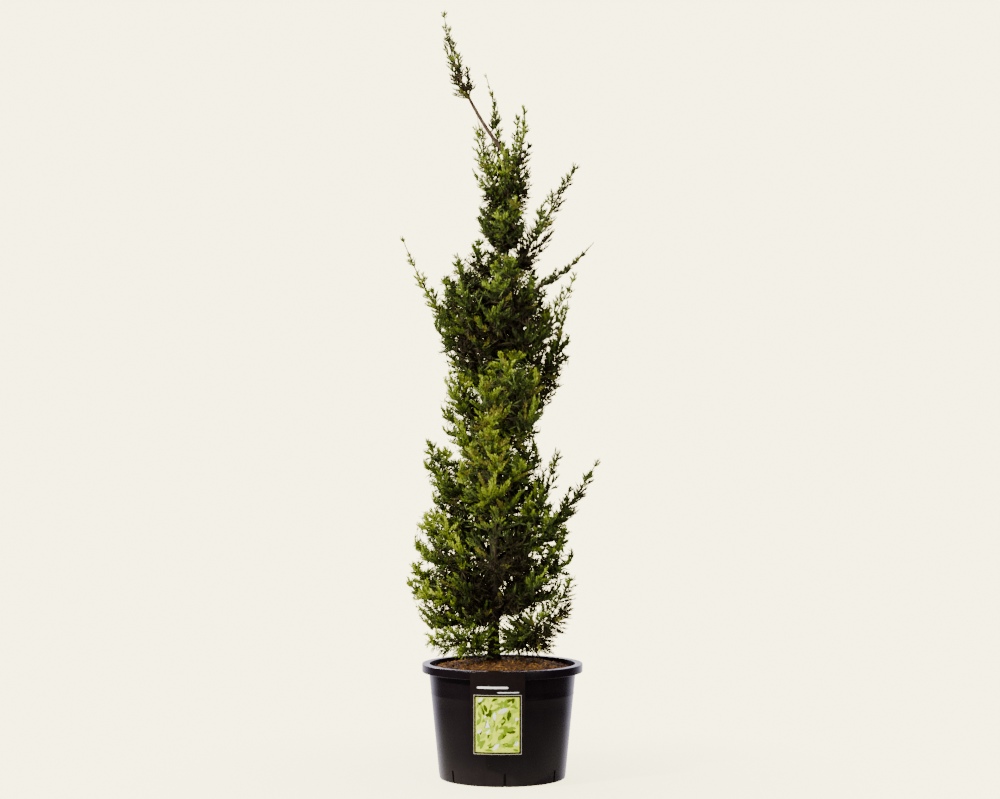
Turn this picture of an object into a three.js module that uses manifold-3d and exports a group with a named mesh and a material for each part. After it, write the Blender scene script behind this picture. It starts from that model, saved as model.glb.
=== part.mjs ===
// A young Chinese juniper in a round nursery pot, as separate solids in millimetres with +Z up.
// The origin is the middle of the pot's flat underside. The plant's front faces -Y, with +X to its right.
import * as THREE from 'three';
import { mergeVertices } from 'three/addons/utils/BufferGeometryUtils.js';
import Module from 'manifold-3d';

const wasm = await Module();
wasm.setup();

// Gap between pieces that are joined on the real plant, and the room that foliage leaves round a limb.
const SEAT_GAP = 0.3;
const LIMB_ROOM = 1.2;

// Pot: a tapered tub with a turned-down rim and drain notches round its foot.
const POT_HEIGHT = 238;
const RIM_RADIUS = 167;
const RIM_SKIRT = 17;
const RIM_WALL = 2.6;
const WALL = 2.6;
const WALL_TOP_RADIUS = 154;
const FOOT_RADIUS = 131;
const FOOT_CHAMFER = 3;
const FLOOR = 4;
const EDGE_ROUND = 1.6;
const POT_SIDES = 36;
const NOTCH_COUNT = 7;
const NOTCH_WIDTH = 5;
const NOTCH_HEIGHT = 28;
const NOTCH_DEPTH = 16;
const NOTCH_TURN = 2;

// Soil: fills the pot and rises to a low mound under the trunk.
const SOIL_EDGE = 226;
const SOIL_TOP = 243;
const SOIL_FLAT = 42;
const SOIL_SHOULDER = { radius: 84, rise: 0.75 };
const SOIL_GAP = 1.3;

// Label: a thin curved card that hangs in front of the rim by a narrow hook.
const CARD_HEIGHT = 166;
const CARD_HALF_ANGLE = 19.3;
const CARD_TURN = -3.5;
const CARD_THICK = 0.8;
const CARD_SEGMENTS = 3;
const HOOK_HALF_ANGLE = 4.5;
const HOOK_DROP = 14;
const CARD_BELOW_RIM = 2;

// Trunk: leans a little, flares at the soil and ends in a cut stub.
const TRUNK_FOOT = new THREE.Vector3(-19, 0, SOIL_TOP + SEAT_GAP);
const TRUNK_BENDS = [
  new THREE.Vector3(-18, -3, 370),
  new THREE.Vector3(-10, 4, 620),
  new THREE.Vector3(2, -3, 900),
  new THREE.Vector3(8, 2, 1130),
];
const TRUNK_STUB = new THREE.Vector3(10.4, 0, 1308);
const TRUNK_FOOT_RADIUS = 11.8;
const TRUNK_STUB_RADIUS = 4.8;
const FLARE_EXTRA = 4.2;
const FLARE_HEIGHT = 26;
const FLARE_LOBES = 5;
const FLARE_LOBE_SHARE = 0.3;
const TRUNK_SIDES = 9;
const TRUNK_STEPS = 18;
const TRUNK_STEP_POWER = 1.25;

// Boughs and the stems inside the foliage: thickness grows with the limb's length.
const LIMB_RADIUS = 2;
const LIMB_RADIUS_PER_MM = 0.008;
const BOUGH_TAPER = 0.72;
const BOUGH_SIDES = 5;
const BOUGH_STEPS = 4;
const STEM_TIP_RADIUS = 0.6;
const STEM_STEPS = 4;
const BEND_OUT = 0.6;
const BEND_RISE = 0.3;

// Sprays: three-finned plumes, each standing for one spray of scale leaves. A fin runs out to a tooth and is
// notched above it. Places are shares of the length along the spray and of the width out from it.
const SPRAY_LENGTH = { least: 30, most: 112 };
const SPRAY_WIDTH_SHARE = 0.66;
const FINS = 3;
const TOOTH = { along: 0.56, out: 0.5 };
const NOTCH = { along: 0.63, out: 0.19 };
const VALLEY = { along: 0.36, out: 0.1 };
const GOLDEN_TURN = Math.PI * (3 - Math.sqrt(5));
const OPEN_ANGLE = { root: 78, tip: 14 };
const ANGLE_SHAKE = 10;
const SPRAY_LIFT = 0.4;
const TURN_ROUND = 1.3;
const FIRST_SPRAY = 0.06;
const LAST_SPRAY = 0.84;
const FITS = [
  { length: 1, width: 1 },
  { length: 0.86, width: 0.9 },
  { length: 0.74, width: 0.75 },
  { length: 0.66, width: 0.55 },
];
const ROLLS = [0, 40, 80];
const REACH_STEP = 3;
const REACH_MOST = 130;

// Spaces: a row of balls along each stem, which its foliage fills and stays within.
const SPACE_BALLS = 7;
const SPACE_MARGIN = 0.8;
const LOWEST_LEAF = 249;
const DRAW_IN = 0.1;
const CORE_FULLNESS = [1, 0.85, 0.7, 0.5, 0.3, 0];
const CORE_GAP = 0.1;

// The two habits of growth: a full tuft swells in its middle, and a spike thins towards its tip.
const TUFT = { core: 0.38, sides: 5, rooted: 0.62, width: (t) => Math.sin(Math.PI * (0.24 + 0.68 * t)) };
const SPIKE = { core: 0, sides: 3, rooted: 0.3, width: (t) => (1 - 0.8 * t) ** 0.8 };

// Masses of foliage. Each has a limb that leaves the trunk at a height and grows toward a heading, in
// degrees from +X to +Y, with a level reach from the trunk to a tip at its own height. Belly is half the
// mass's width.
// Tufts: name, height, toward, reach, tip, belly, sprays.
const TUFTS = [
  ['upper_left', 1122, 192, 30, 1236, 46, 8],
  ['upper_front', 1108, 276, 40, 1220, 46, 8],
  ['upper_back', 1112, 104, 44, 1218, 46, 8],
  ['left_shoulder', 914, 186, 54, 1106, 78, 9],
  ['left_brow', 884, 214, 112, 1068, 72, 9],
  ['left_crook', 800, 164, 124, 1036, 66, 9],
  ['left_flank', 680, 190, 88, 856, 72, 9],
  ['left_horn', 544, 180, 140, 694, 60, 9],
  ['left_fan', 456, 162, 118, 616, 64, 8],
  ['left_low', 392, 194, 146, 544, 76, 10],
  ['left_skirt', 326, 184, 158, 436, 76, 10],
  ['front_upper', 896, 276, 78, 1068, 86, 9],
  ['front_middle', 716, 288, 86, 884, 88, 9],
  ['front_lower', 560, 262, 92, 724, 84, 10],
  ['front_skirt', 424, 272, 106, 572, 86, 10],
  ['right_shoulder', 884, 18, 64, 1046, 76, 9],
  ['right_dusk', 738, 6, 134, 952, 56, 9],
  ['right_fan', 556, 2, 54, 728, 72, 9],
  ['right_heart', 428, 330, 112, 600, 80, 10],
  ['right_low', 356, 348, 148, 512, 68, 9],
  ['back_upper', 936, 96, 78, 1090, 82, 8],
  ['back_middle', 744, 92, 90, 920, 86, 8],
  ['back_lower', 566, 98, 98, 736, 86, 8],
  ['back_skirt', 400, 92, 114, 560, 86, 8],
  ['back_left', 340, 132, 128, 450, 68, 8],
  ['back_right', 338, 56, 118, 460, 66, 8],
];
// Spikes: the same, then bare, the share of the limb below the foliage, bend, the share of the climb that is
// made where the limb turns up, and for some bend out, the share of the reach at which it turns.
const SPIKES = [
  ['leader', 1298, 181, 132, 1590, 44, 12, 0.36, 0.46, 0.82],
  ['top_left', 1200, 186, 62, 1378, 60, 10, 0, 0.25],
  ['top_right', 1208, 354, 38, 1390, 56, 10, 0, 0.2],
  ['top_fan', 1216, 128, 38, 1384, 46, 9, 0, 0.25],
  ['top_back', 1196, 50, 36, 1374, 52, 9, 0, 0.25],
  ['top_front', 1180, 262, 40, 1310, 50, 8, 0, 0.25],
  ['right_flare', 1030, 352, 146, 1266, 52, 10, 0.06, 0.57, 0.55],
  ['right_whip', 990, 356, 184, 1110, 20, 7, 0.3, 0.34],
  ['right_horn', 838, 338, 160, 1036, 50, 10, 0.16, 0.42],
  ['left_spike', 862, 192, 212, 1120, 40, 10, 0.3, 0.22],
  ['right_plume', 474, 28, 150, 668, 58, 10, 0.24, 0.3],
  ['right_reach', 410, 2, 216, 658, 50, 10, 0.28, 0.46],
  ['right_skirt', 276, 352, 158, 408, 84, 11, 0.2, 0.06],
  ['left_hem', 284, 206, 142, 290, 70, 9, 0.12, 0.3],
];

// The thin upright shoot that stands on the leader's bare stretch.
const SPUR = {
  name: 'leader_spur', along: 0.44, reach: -14, climb: 126, turnOut: 26, belly: 24, sprays: 6, habit: SPIKE,
};

const COLOURS = { bark: 0x4d3b2c, soil: 0x7a4526, pot: 0x1b191c, card: 0x101012 };
const GREENS = [0x3c6b1c, 0x4d7f22, 0x2f5a1a];

const UP = new THREE.Vector3(0, 0, 1);

// Draws from 0 to 1 that are the same each time for one seed.
function seededDraws(seed) {
  let state = seed >>> 0;
  return () => {
    state = (state + 0x6d2b79f5) >>> 0;
    let mixed = Math.imul(state ^ (state >>> 15), state | 1);
    mixed ^= mixed + Math.imul(mixed ^ (mixed >>> 7), mixed | 61);
    return ((mixed ^ (mixed >>> 14)) >>> 0) / 2 ** 32;
  };
}

function mix(from, to, share) {
  return from + (to - from) * share;
}

function heading(degrees) {
  const angle = THREE.MathUtils.degToRad(degrees);
  return new THREE.Vector3(Math.cos(angle), Math.sin(angle), 0);
}

// A closed three.js geometry as a solid, with its faces pointing out.
function solidFrom(geometry) {
  const bare = new THREE.BufferGeometry();
  bare.setAttribute('position', geometry.getAttribute('position'));
  bare.setIndex(geometry.index);
  const merged = mergeVertices(bare, 1e-4);
  const vertProperties = new Float32Array(merged.getAttribute('position').array);
  const corners = [];
  for (let i = 0; i < merged.index.count; i += 3) {
    const [a, b, c] = merged.index.array.slice(i, i + 3);
    if (a !== b && b !== c && c !== a) corners.push(a, b, c);
  }
  const make = (triVerts) => new wasm.Manifold(new wasm.Mesh({ numProp: 3, vertProperties, triVerts }));
  const made = make(new Uint32Array(corners));
  return made.volume() > 0 ? made : make(new Uint32Array(corners).reverse());
}

// A solid as a geometry that a mesh can show.
function geometryFrom(solid) {
  const { vertProperties, triVerts } = solid.getMesh();
  const geometry = new THREE.BufferGeometry();
  geometry.setAttribute('position', new THREE.BufferAttribute(vertProperties, 3));
  geometry.setIndex(new THREE.BufferAttribute(triVerts, 1));
  geometry.computeVertexNormals();
  return geometry;
}

// The largest body of a fused solid: sealed hollows are filled and loose scraps dropped.
function largestBody(solid) {
  return solid.decompose().reduce((best, body) => (body.volume() > best.volume() ? body : best));
}

// A closed skin over rings that have the same number of points, with flat ends.
function skinOver(rings) {
  const sides = rings[0].length;
  const top = (rings.length - 1) * sides;
  const index = [];
  for (let k = 0; k < top; k += sides) {
    for (let s = 0; s < sides; s++) {
      const a = k + s;
      const b = k + ((s + 1) % sides);
      index.push(a, b, b + sides, a, b + sides, a + sides);
    }
  }
  for (let s = 1; s + 1 < sides; s++) {
    index.push(0, s + 1, s, top, top + s, top + s + 1);
  }
  const geometry = new THREE.BufferGeometry().setFromPoints(rings.flat());
  geometry.setIndex(index);
  return geometry;
}

// Points round a limb in the plane of two directions.
function ringOf(centre, across, over, radiusAt, sides) {
  return Array.from({ length: sides }, (_, s) => {
    const angle = (2 * Math.PI * s) / sides;
    const radius = radiusAt(angle);
    const point = centre.clone().addScaledVector(across, radius * Math.cos(angle));
    return point.addScaledVector(over, radius * Math.sin(angle));
  });
}

// The trunk's rings are level, so that its foot is a flat cut, and its foot spreads in low lobes.
const trunkCurve = new THREE.CatmullRomCurve3([TRUNK_FOOT, ...TRUNK_BENDS, TRUNK_STUB]);

// The trunk's radius at a height, and at an angle round it.
function trunkRadius(height, angle) {
  const share = (height - TRUNK_FOOT.z) / (TRUNK_STUB.z - TRUNK_FOOT.z);
  const flare = FLARE_EXTRA * Math.exp((TRUNK_FOOT.z - height) / FLARE_HEIGHT);
  const lobe = 1 + FLARE_LOBE_SHARE * Math.cos(FLARE_LOBES * angle);
  return mix(TRUNK_FOOT_RADIUS, TRUNK_STUB_RADIUS, share) + flare * lobe;
}

function trunkSolid() {
  const across = new THREE.Vector3(1, 0, 0);
  const over = new THREE.Vector3(0, 1, 0);
  const rings = Array.from({ length: TRUNK_STEPS + 1 }, (_, k) => {
    const centre = trunkCurve.getPoint((k / TRUNK_STEPS) ** TRUNK_STEP_POWER);
    return ringOf(centre, across, over, (angle) => trunkRadius(centre.z, angle), TRUNK_SIDES);
  });
  return solidFrom(skinOver(rings));
}

// The trunk's middle at a height.
function trunkAt(height) {
  let low = 0;
  let high = 1;
  while (high - low > 1e-6) {
    const middle = (low + high) / 2;
    if (trunkCurve.getPoint(middle).z < height) low = middle;
    else high = middle;
  }
  return trunkCurve.getPoint(low);
}

// A limb along a curve that stays in one upright plane, with side square to that plane. Its root is cut to
// the plane that faces along seatFace, where it has one.
function makeLimb(curve, side, radiusAt, sides, steps, seatFace) {
  const solid = (fullness = 1, drawIn = (point) => point) => {
    const rings = Array.from({ length: steps + 1 }, (_, k) => {
      const centre = curve.getPoint(k / steps);
      const over = side.clone().cross(curve.getTangent(k / steps));
      const ring = ringOf(centre, over, side, () => radiusAt(k / steps, fullness), sides);
      return ring.map((point) => drawIn(point, centre));
    });
    if (seatFace) {
      const seat = curve.getPoint(0);
      const along = curve.getTangent(0);
      const slope = along.dot(seatFace);
      rings[0].forEach((p) => p.addScaledVector(along, -p.clone().sub(seat).dot(seatFace) / slope));
    }
    return solidFrom(skinOver(rings));
  };
  return { curve, side, radiusAt, solid };
}

// The two curves that a limb's curve is cut into, where its foliage begins.
function splitCurve({ v0, v1, v2 }, share) {
  const low = v0.clone().lerp(v1, share);
  const high = v1.clone().lerp(v2, share);
  const middle = low.clone().lerp(high, share);
  const onward = high.clone().sub(low).normalize();
  const start = middle.clone().addScaledVector(onward, SEAT_GAP);
  return [
    new THREE.QuadraticBezierCurve3(v0, low, middle),
    new THREE.QuadraticBezierCurve3(start, high, v2),
  ];
}

// Plans one mass: the bough that carries it, if that shows, its stem, and the space that its foliage fills.
function planMass(row, order) {
  const middle = trunkAt(row.height);
  const out = heading(row.toward);
  const side = heading(row.toward + 90);
  const trunkSide = trunkRadius(row.height, THREE.MathUtils.degToRad(row.toward));
  const root = middle.clone().addScaledVector(out, trunkSide + SEAT_GAP);
  const tip = middle.clone().addScaledVector(out, row.reach).setZ(row.tip);
  const turn = root.clone().addScaledVector(out, row.bendOut * row.reach);
  turn.z += row.bend * (row.tip - row.height);
  const whole = new THREE.QuadraticBezierCurve3(root, turn, tip);
  const rootRadius = LIMB_RADIUS + LIMB_RADIUS_PER_MM * root.distanceTo(tip);
  if (!row.bare) {
    const stem = makeStem(row, whole, side, rootRadius, out);
    return { ...row, order, stem, balls: spaceBalls(row, whole) };
  }
  const [bareCurve, leafyCurve] = splitCurve(whole, row.bare);
  const neck = rootRadius * BOUGH_TAPER;
  const bough = makeLimb(bareCurve, side, (u) => mix(rootRadius, neck, u), BOUGH_SIDES, BOUGH_STEPS, out);
  const stem = makeStem(row, leafyCurve, side, neck);
  return { ...row, order, bough, stem, balls: spaceBalls(row, leafyCurve) };
}

// A mass's stem, which tapers to its tip. In a dense mass it swells to a slim core of packed twigs.
function makeStem(row, curve, side, rootRadius, seatFace) {
  const swelling = row.habit.core * row.belly;
  const radiusAt = (u, fullness = 1) => {
    const bare = mix(rootRadius, STEM_TIP_RADIUS, u);
    return bare + fullness * swelling * Math.sin(Math.PI * u);
  };
  return makeLimb(curve, side, radiusAt, row.habit.sides, STEM_STEPS, seatFace);
}

// The spur stands on the side of the leader's bough.
function planSpur(row, host, order) {
  const along = host.curve.getTangent(row.along);
  const out = UP.clone().addScaledVector(along, -along.dot(UP)).normalize();
  const root = host.curve.getPoint(row.along).addScaledVector(out, host.radiusAt(row.along) + SEAT_GAP);
  const tip = root.clone().addScaledVector(out, row.reach);
  tip.z += row.climb;
  const turn = root.clone().addScaledVector(out, row.turnOut);
  const curve = new THREE.QuadraticBezierCurve3(root, turn, tip);
  const stem = makeStem(row, curve, host.side, LIMB_RADIUS, out);
  return { ...row, order, stem, balls: spaceBalls(row, curve) };
}

function spaceBalls(row, curve) {
  return Array.from({ length: SPACE_BALLS }, (_, k) => {
    const t = k / (SPACE_BALLS - 1);
    return { centre: curve.getPoint(t), radius: row.belly * row.habit.width(t) };
  });
}

// How far outside a ball a point is, as a power, which is even on the plane between two balls.
function power(point, ball) {
  return point.distanceToSquared(ball.centre) - ball.radius ** 2;
}

function nearestBall(point, mass) {
  return mass.balls.reduce((best, ball) => (power(point, ball) < power(point, best) ? ball : best));
}

// True where a point is on its mass's own side of every other mass, and above the pot.
function keepsToSide(point, mass, masses) {
  if (point.z < LOWEST_LEAF) return false;
  const own = nearestBall(point, mass);
  const ownPower = power(point, own);
  return masses.every((other) => other === mass || other.balls.every((ball) => {
    const apart = ball.centre.distanceTo(own.centre);
    return power(point, ball) - ownPower > 2 * apart * SPACE_MARGIN;
  }));
}

// True where a point is inside its mass's own space as well.
function keepsToSpace(point, mass, masses) {
  return power(point, nearestBall(point, mass)) < 0 && keepsToSide(point, mass, masses);
}

// A point of a mass's core, drawn in to the stem until it is in the mass's own space.
function drawnIn(point, centre, mass, masses) {
  while (point.distanceTo(centre) > LIMB_RADIUS && !keepsToSpace(point, mass, masses)) {
    point.lerp(centre, DRAW_IN);
  }
  return point;
}

// A mass's stem as a solid. Its core slims until it stands clear of the limbs and of the stems before it.
function stemWood(mass, masses, others) {
  const drawIn = (point, centre) => drawnIn(point, centre, mass, masses);
  const tries = CORE_FULLNESS.map((fullness) => ({ fullness, wood: mass.stem.solid(fullness, drawIn) }));
  return tries.find(({ wood }) => standsClear(wood, others, CORE_GAP)) ?? tries.at(-1);
}

// How far a spray may grow from its stem before it leaves the mass's space.
function reachInSpace(from, along, mass, masses) {
  const inside = (far) => keepsToSpace(from.clone().addScaledVector(along, far), mass, masses);
  let far = REACH_STEP;
  while (far < REACH_MOST && inside(far + REACH_STEP)) far += REACH_STEP;
  return far;
}

// The points of one spray: its root and tip, then each fin's tooth and notch and the valley beside it.
function sprayPoints(root, along, across, length, width) {
  const at = (place, turn) => root.clone()
    .addScaledVector(along, place.along * length)
    .addScaledVector(across.clone().applyAxisAngle(along, turn), place.out * width);
  const points = [root, root.clone().addScaledVector(along, length)];
  for (let fin = 0; fin < FINS; fin++) {
    const turn = (2 * Math.PI * fin) / FINS;
    points.push(at(TOOTH, turn), at(NOTCH, turn), at(VALLEY, turn + Math.PI / FINS));
  }
  return points;
}

function spraySolid(points) {
  const [root, tip] = [0, 1];
  const index = [];
  for (let fin = 0; fin < FINS; fin++) {
    const [tooth, notch, valley] = [2 + 3 * fin, 3 + 3 * fin, 4 + 3 * fin];
    const nextTooth = 2 + 3 * ((fin + 1) % FINS);
    const nextNotch = nextTooth + 1;
    index.push(root, valley, tooth, root, nextTooth, valley);
    index.push(tooth, valley, notch, valley, nextTooth, nextNotch);
    index.push(tip, notch, valley, tip, valley, nextNotch);
  }
  const geometry = new THREE.BufferGeometry().setFromPoints(points);
  geometry.setIndex(index);
  return solidFrom(geometry);
}

// True where a solid stands at least a gap clear of the others.
function standsClear(solid, others, gap) {
  return others.every((other) => solid.minGap(other, gap) >= gap);
}

// A spray as long as its space lets it grow. It is rolled, or shorter and slimmer, where it would touch
// another mass or a limb, and left out where none fits.
function fitSpray(onStem, { along, room }, across, coreRadius, mass, crown) {
  const skin = drawnIn(onStem.clone().addScaledVector(along, coreRadius), onStem, mass, crown.masses);
  const deep = mass.habit.rooted * skin.distanceTo(onStem);
  for (const fit of FITS) {
    const far = Math.max(room * fit.length, deep + SPRAY_LENGTH.least);
    const length = Math.min(far - deep, SPRAY_LENGTH.most);
    const width = length * SPRAY_WIDTH_SHARE * fit.width;
    const root = onStem.clone().addScaledVector(along, far - length);
    for (const roll of ROLLS) {
      const rolled = across.clone().applyAxisAngle(along, THREE.MathUtils.degToRad(roll));
      const points = sprayPoints(root, along, rolled, length, width);
      if (points.slice(1).every((p) => keepsToSide(p, mass, crown.masses))) {
        const spray = spraySolid(points);
        const clear = standsClear(spray, crown.limbsBut(mass), LIMB_ROOM);
        if (clear && standsClear(spray, crown.grown, SEAT_GAP)) return spray;
      }
    }
  }
  return null;
}

// The way a spray grows: open from its stem by an angle, at a turn round it, and lifted to the light.
function sprayWay(onward, side, turn, open) {
  const over = side.clone().cross(onward);
  const sideways = over.multiplyScalar(Math.cos(turn)).addScaledVector(side, Math.sin(turn));
  const along = onward.clone().multiplyScalar(Math.cos(open)).addScaledVector(sideways, Math.sin(open));
  return along.addScaledVector(UP, SPRAY_LIFT).normalize();
}

// The sprays of one mass, turning round its stem by the golden angle and closing towards its tip. Each grows
// to the roomier of two opposite sides.
function growSprays(mass, crown) {
  const draw = seededDraws(mass.order + 1);
  const { curve, side, radiusAt, fullness } = mass.stem;
  const grown = [];
  for (let i = 0; i < mass.sprays; i++) {
    const t = mix(FIRST_SPRAY, LAST_SPRAY, i / (mass.sprays - 1));
    const turn = i * GOLDEN_TURN + draw();
    const shake = ANGLE_SHAKE * (2 * draw() - 1);
    const roll = 2 * Math.PI * draw();
    const open = THREE.MathUtils.degToRad(mix(OPEN_ANGLE.root, OPEN_ANGLE.tip, t) + shake);
    const onStem = curve.getPoint(t);
    const onward = curve.getTangent(t);
    const [first, second] = [turn, turn + Math.PI].map((angle) => {
      const along = sprayWay(onward, side, angle, open);
      return { along, room: reachInSpace(onStem, along, mass, crown.masses) };
    });
    const way = second.room > first.room * TURN_ROUND ? second : first;
    const across = way.along.clone().cross(onward).normalize().applyAxisAngle(way.along, roll);
    const spray = fitSpray(onStem, way, across, radiusAt(t, fullness), mass, crown);
    if (spray) grown.push(spray);
  }
  return grown;
}

// One mass as a single solid: its stem and its sprays.
function growMass(mass, crown) {
  return largestBody(wasm.Manifold.union([mass.stem.wood, ...growSprays(mass, crown)]));
}

// A closed profile turned round the upright axis.
function turned(profile, sides) {
  const points = profile.map(([radius, height]) => new THREE.Vector2(radius, height));
  return solidFrom(new THREE.LatheGeometry(points, sides).rotateX(Math.PI / 2));
}

function makePot() {
  const ledge = POT_HEIGHT - RIM_WALL;
  const skirtFoot = POT_HEIGHT - RIM_SKIRT;
  const inside = WALL_TOP_RADIUS - WALL;
  const tub = turned([
    [0, 0],
    [FOOT_RADIUS - FOOT_CHAMFER, 0],
    [FOOT_RADIUS, FOOT_CHAMFER],
    [WALL_TOP_RADIUS, ledge],
    [RIM_RADIUS - RIM_WALL, ledge],
    [RIM_RADIUS - RIM_WALL, skirtFoot],
    [RIM_RADIUS, skirtFoot],
    [RIM_RADIUS, POT_HEIGHT - EDGE_ROUND],
    [RIM_RADIUS - EDGE_ROUND, POT_HEIGHT],
    [inside + EDGE_ROUND, POT_HEIGHT],
    [inside, POT_HEIGHT - EDGE_ROUND],
    [FOOT_RADIUS - WALL, FLOOR],
    [0, FLOOR],
  ], POT_SIDES);
  const notches = Array.from({ length: NOTCH_COUNT }, (_, k) => {
    const notch = new THREE.BoxGeometry(NOTCH_DEPTH, NOTCH_WIDTH, 2 * NOTCH_HEIGHT);
    notch.translate(FOOT_RADIUS, 0, 0);
    notch.rotateZ(THREE.MathUtils.degToRad(-90 + NOTCH_TURN + (360 * k) / NOTCH_COUNT));
    return solidFrom(notch);
  });
  return tub.subtract(wasm.Manifold.union(notches));
}

// The soil follows the pot's inside at a small gap, and is flat where the trunk stands.
function makeSoil() {
  const clear = WALL + SOIL_GAP;
  const wallAt = (height) => mix(FOOT_RADIUS, WALL_TOP_RADIUS, height / (POT_HEIGHT - RIM_WALL));
  const bottom = FLOOR + SEAT_GAP;
  return turned([
    [0, bottom],
    [wallAt(bottom) - clear, bottom],
    [wallAt(SOIL_EDGE) - clear, SOIL_EDGE],
    [SOIL_SHOULDER.radius, mix(SOIL_EDGE, SOIL_TOP, SOIL_SHOULDER.rise)],
    [SOIL_FLAT, SOIL_TOP],
    [0, SOIL_TOP],
  ], POT_SIDES);
}

// A curved plate between two radii, centred on the pot's front.
function curvedPlate(inner, outer, halfAngle, low, high) {
  const middle = THREE.MathUtils.degToRad(-90 + CARD_TURN);
  const half = THREE.MathUtils.degToRad(halfAngle);
  const shape = new THREE.Shape();
  shape.absarc(0, 0, outer, middle - half, middle + half, false);
  shape.absarc(0, 0, inner, middle + half, middle - half, true);
  const extent = { depth: high - low, bevelEnabled: false, curveSegments: CARD_SEGMENTS };
  const plate = new THREE.ExtrudeGeometry(shape, extent);
  return solidFrom(plate.translate(0, 0, low));
}

function makeLabel() {
  const face = RIM_RADIUS + SEAT_GAP;
  const front = face + CARD_THICK;
  const over = POT_HEIGHT + SEAT_GAP;
  const hookTop = over + CARD_THICK;
  const behind = WALL_TOP_RADIUS - WALL - 2 * EDGE_ROUND;
  const cardTop = POT_HEIGHT - CARD_BELOW_RIM;
  return wasm.Manifold.union([
    curvedPlate(face, front, CARD_HALF_ANGLE, cardTop - CARD_HEIGHT, cardTop),
    curvedPlate(face, front, HOOK_HALF_ANGLE, cardTop - HOOK_DROP, hookTop),
    curvedPlate(behind, front, HOOK_HALF_ANGLE, over, hookTop),
    curvedPlate(behind - CARD_THICK, behind, HOOK_HALF_ANGLE, hookTop - HOOK_DROP / 2, hookTop),
  ]);
}

function meshOf(name, solid, colour, roughness) {
  const material = new THREE.MeshStandardMaterial({ color: colour, roughness, metalness: 0 });
  const mesh = new THREE.Mesh(geometryFrom(solid), material);
  mesh.name = name;
  return mesh;
}

const plant = new THREE.Group();
plant.add(meshOf('pot', makePot(), COLOURS.pot, 0.45));
plant.add(meshOf('soil', makeSoil(), COLOURS.soil, 0.95));
plant.add(meshOf('label', makeLabel(), COLOURS.card, 0.35));

plant.add(meshOf('trunk', trunkSolid(), COLOURS.bark, 0.9));

const namedMass = (row, habit) => {
  const [name, height, toward, reach, tip, belly, sprays, ...turning] = row;
  const [bare = 0, bend = BEND_RISE, bendOut = BEND_OUT] = turning;
  return { name, height, toward, reach, tip, belly, sprays, bare, bend, bendOut, habit };
};
const rows = [...SPIKES.map((row) => namedMass(row, SPIKE)), ...TUFTS.map((row) => namedMass(row, TUFT))];
const masses = rows.map(planMass);
const leader = masses.find((mass) => mass.name === 'leader');
masses.push(planSpur(SPUR, leader.bough, masses.length));

const boughs = masses.filter((mass) => mass.bough);
for (const { name, bough } of boughs) {
  plant.add(meshOf(`bough_${name}`, bough.solid(), COLOURS.bark, 0.9));
}

// The crown as it grows: the masses as planned, those grown so far, and every limb but a mass's own stem.
const trunkAndBoughs = [trunkSolid(), ...boughs.map((mass) => mass.bough.solid())];
const limbsSoFar = [...trunkAndBoughs];
for (const mass of masses) {
  Object.assign(mass.stem, stemWood(mass, masses, limbsSoFar));
  limbsSoFar.push(mass.stem.wood);
}
const limbsBut = (mass) => [
  ...trunkAndBoughs,
  ...masses.filter((other) => other !== mass).map((other) => other.stem.wood),
];
const crown = { masses, grown: [], limbsBut };
masses.forEach((mass, k) => {
  const foliage = growMass(mass, crown);
  crown.grown.push(foliage);
  plant.add(meshOf(`foliage_${mass.name}`, foliage, GREENS[k % GREENS.length], 0.7));
});

export default plant;
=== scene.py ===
"""Looks of a young Chinese juniper in a round nursery pot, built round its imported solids.

Growth is worked out in millimetres by the same rule as the solids, carried on to finer twigs and leaves,
and every mesh is made in metres. The origin is the middle of the pot's underside, with +Z up and the front
facing -Y.
"""

from __future__ import annotations

import logging
import math
from dataclasses import dataclass, field
from enum import Enum, IntEnum

import bmesh
import bpy
import numpy as np
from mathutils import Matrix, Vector, noise

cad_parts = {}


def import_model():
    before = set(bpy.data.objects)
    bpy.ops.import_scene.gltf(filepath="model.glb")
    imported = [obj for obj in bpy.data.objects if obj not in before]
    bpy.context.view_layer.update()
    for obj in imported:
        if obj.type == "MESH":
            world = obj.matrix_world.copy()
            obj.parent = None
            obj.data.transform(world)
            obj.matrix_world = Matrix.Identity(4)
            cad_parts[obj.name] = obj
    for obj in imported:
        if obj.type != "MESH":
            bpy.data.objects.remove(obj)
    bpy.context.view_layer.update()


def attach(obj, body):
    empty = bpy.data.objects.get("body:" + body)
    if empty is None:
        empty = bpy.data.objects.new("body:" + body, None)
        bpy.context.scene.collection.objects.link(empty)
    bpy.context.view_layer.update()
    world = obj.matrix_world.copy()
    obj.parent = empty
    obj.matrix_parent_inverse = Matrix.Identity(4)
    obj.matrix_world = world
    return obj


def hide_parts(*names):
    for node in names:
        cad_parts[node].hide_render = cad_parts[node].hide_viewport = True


LOG = logging.getLogger("juniper")
MM = 0.001
BODY = "root"
UP = np.array([0.0, 0.0, 1.0])
SHORTEST = 1e-9
GOLDEN_TURN = math.pi * (3 - math.sqrt(5))

# The solids' row of draws works in 32-bit words.
WORD = 0xFFFFFFFF
DRAW_STEP = 0x6D2B79F5

# Half widths along a stem: where a tuft's swell starts and how far it runs, and how a spike thins.
TUFT_SWELL = (0.24, 0.68)
SPIKE_SLIM = (0.8, 0.8)
BLADE_WIDEST = 0.4

Colour = tuple[float, float, float]
Point = tuple[float, float, float]
Span = tuple[float, float]
Array = np.ndarray
Pair = tuple[Array, Array]
Random = np.random.Generator
Socket = bpy.types.NodeSocket


def mix(start: float, end: float, share: float | Array) -> float | Array:
    """Blend two values by a share from 0 to 1."""
    return start + (end - start) * share


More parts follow.
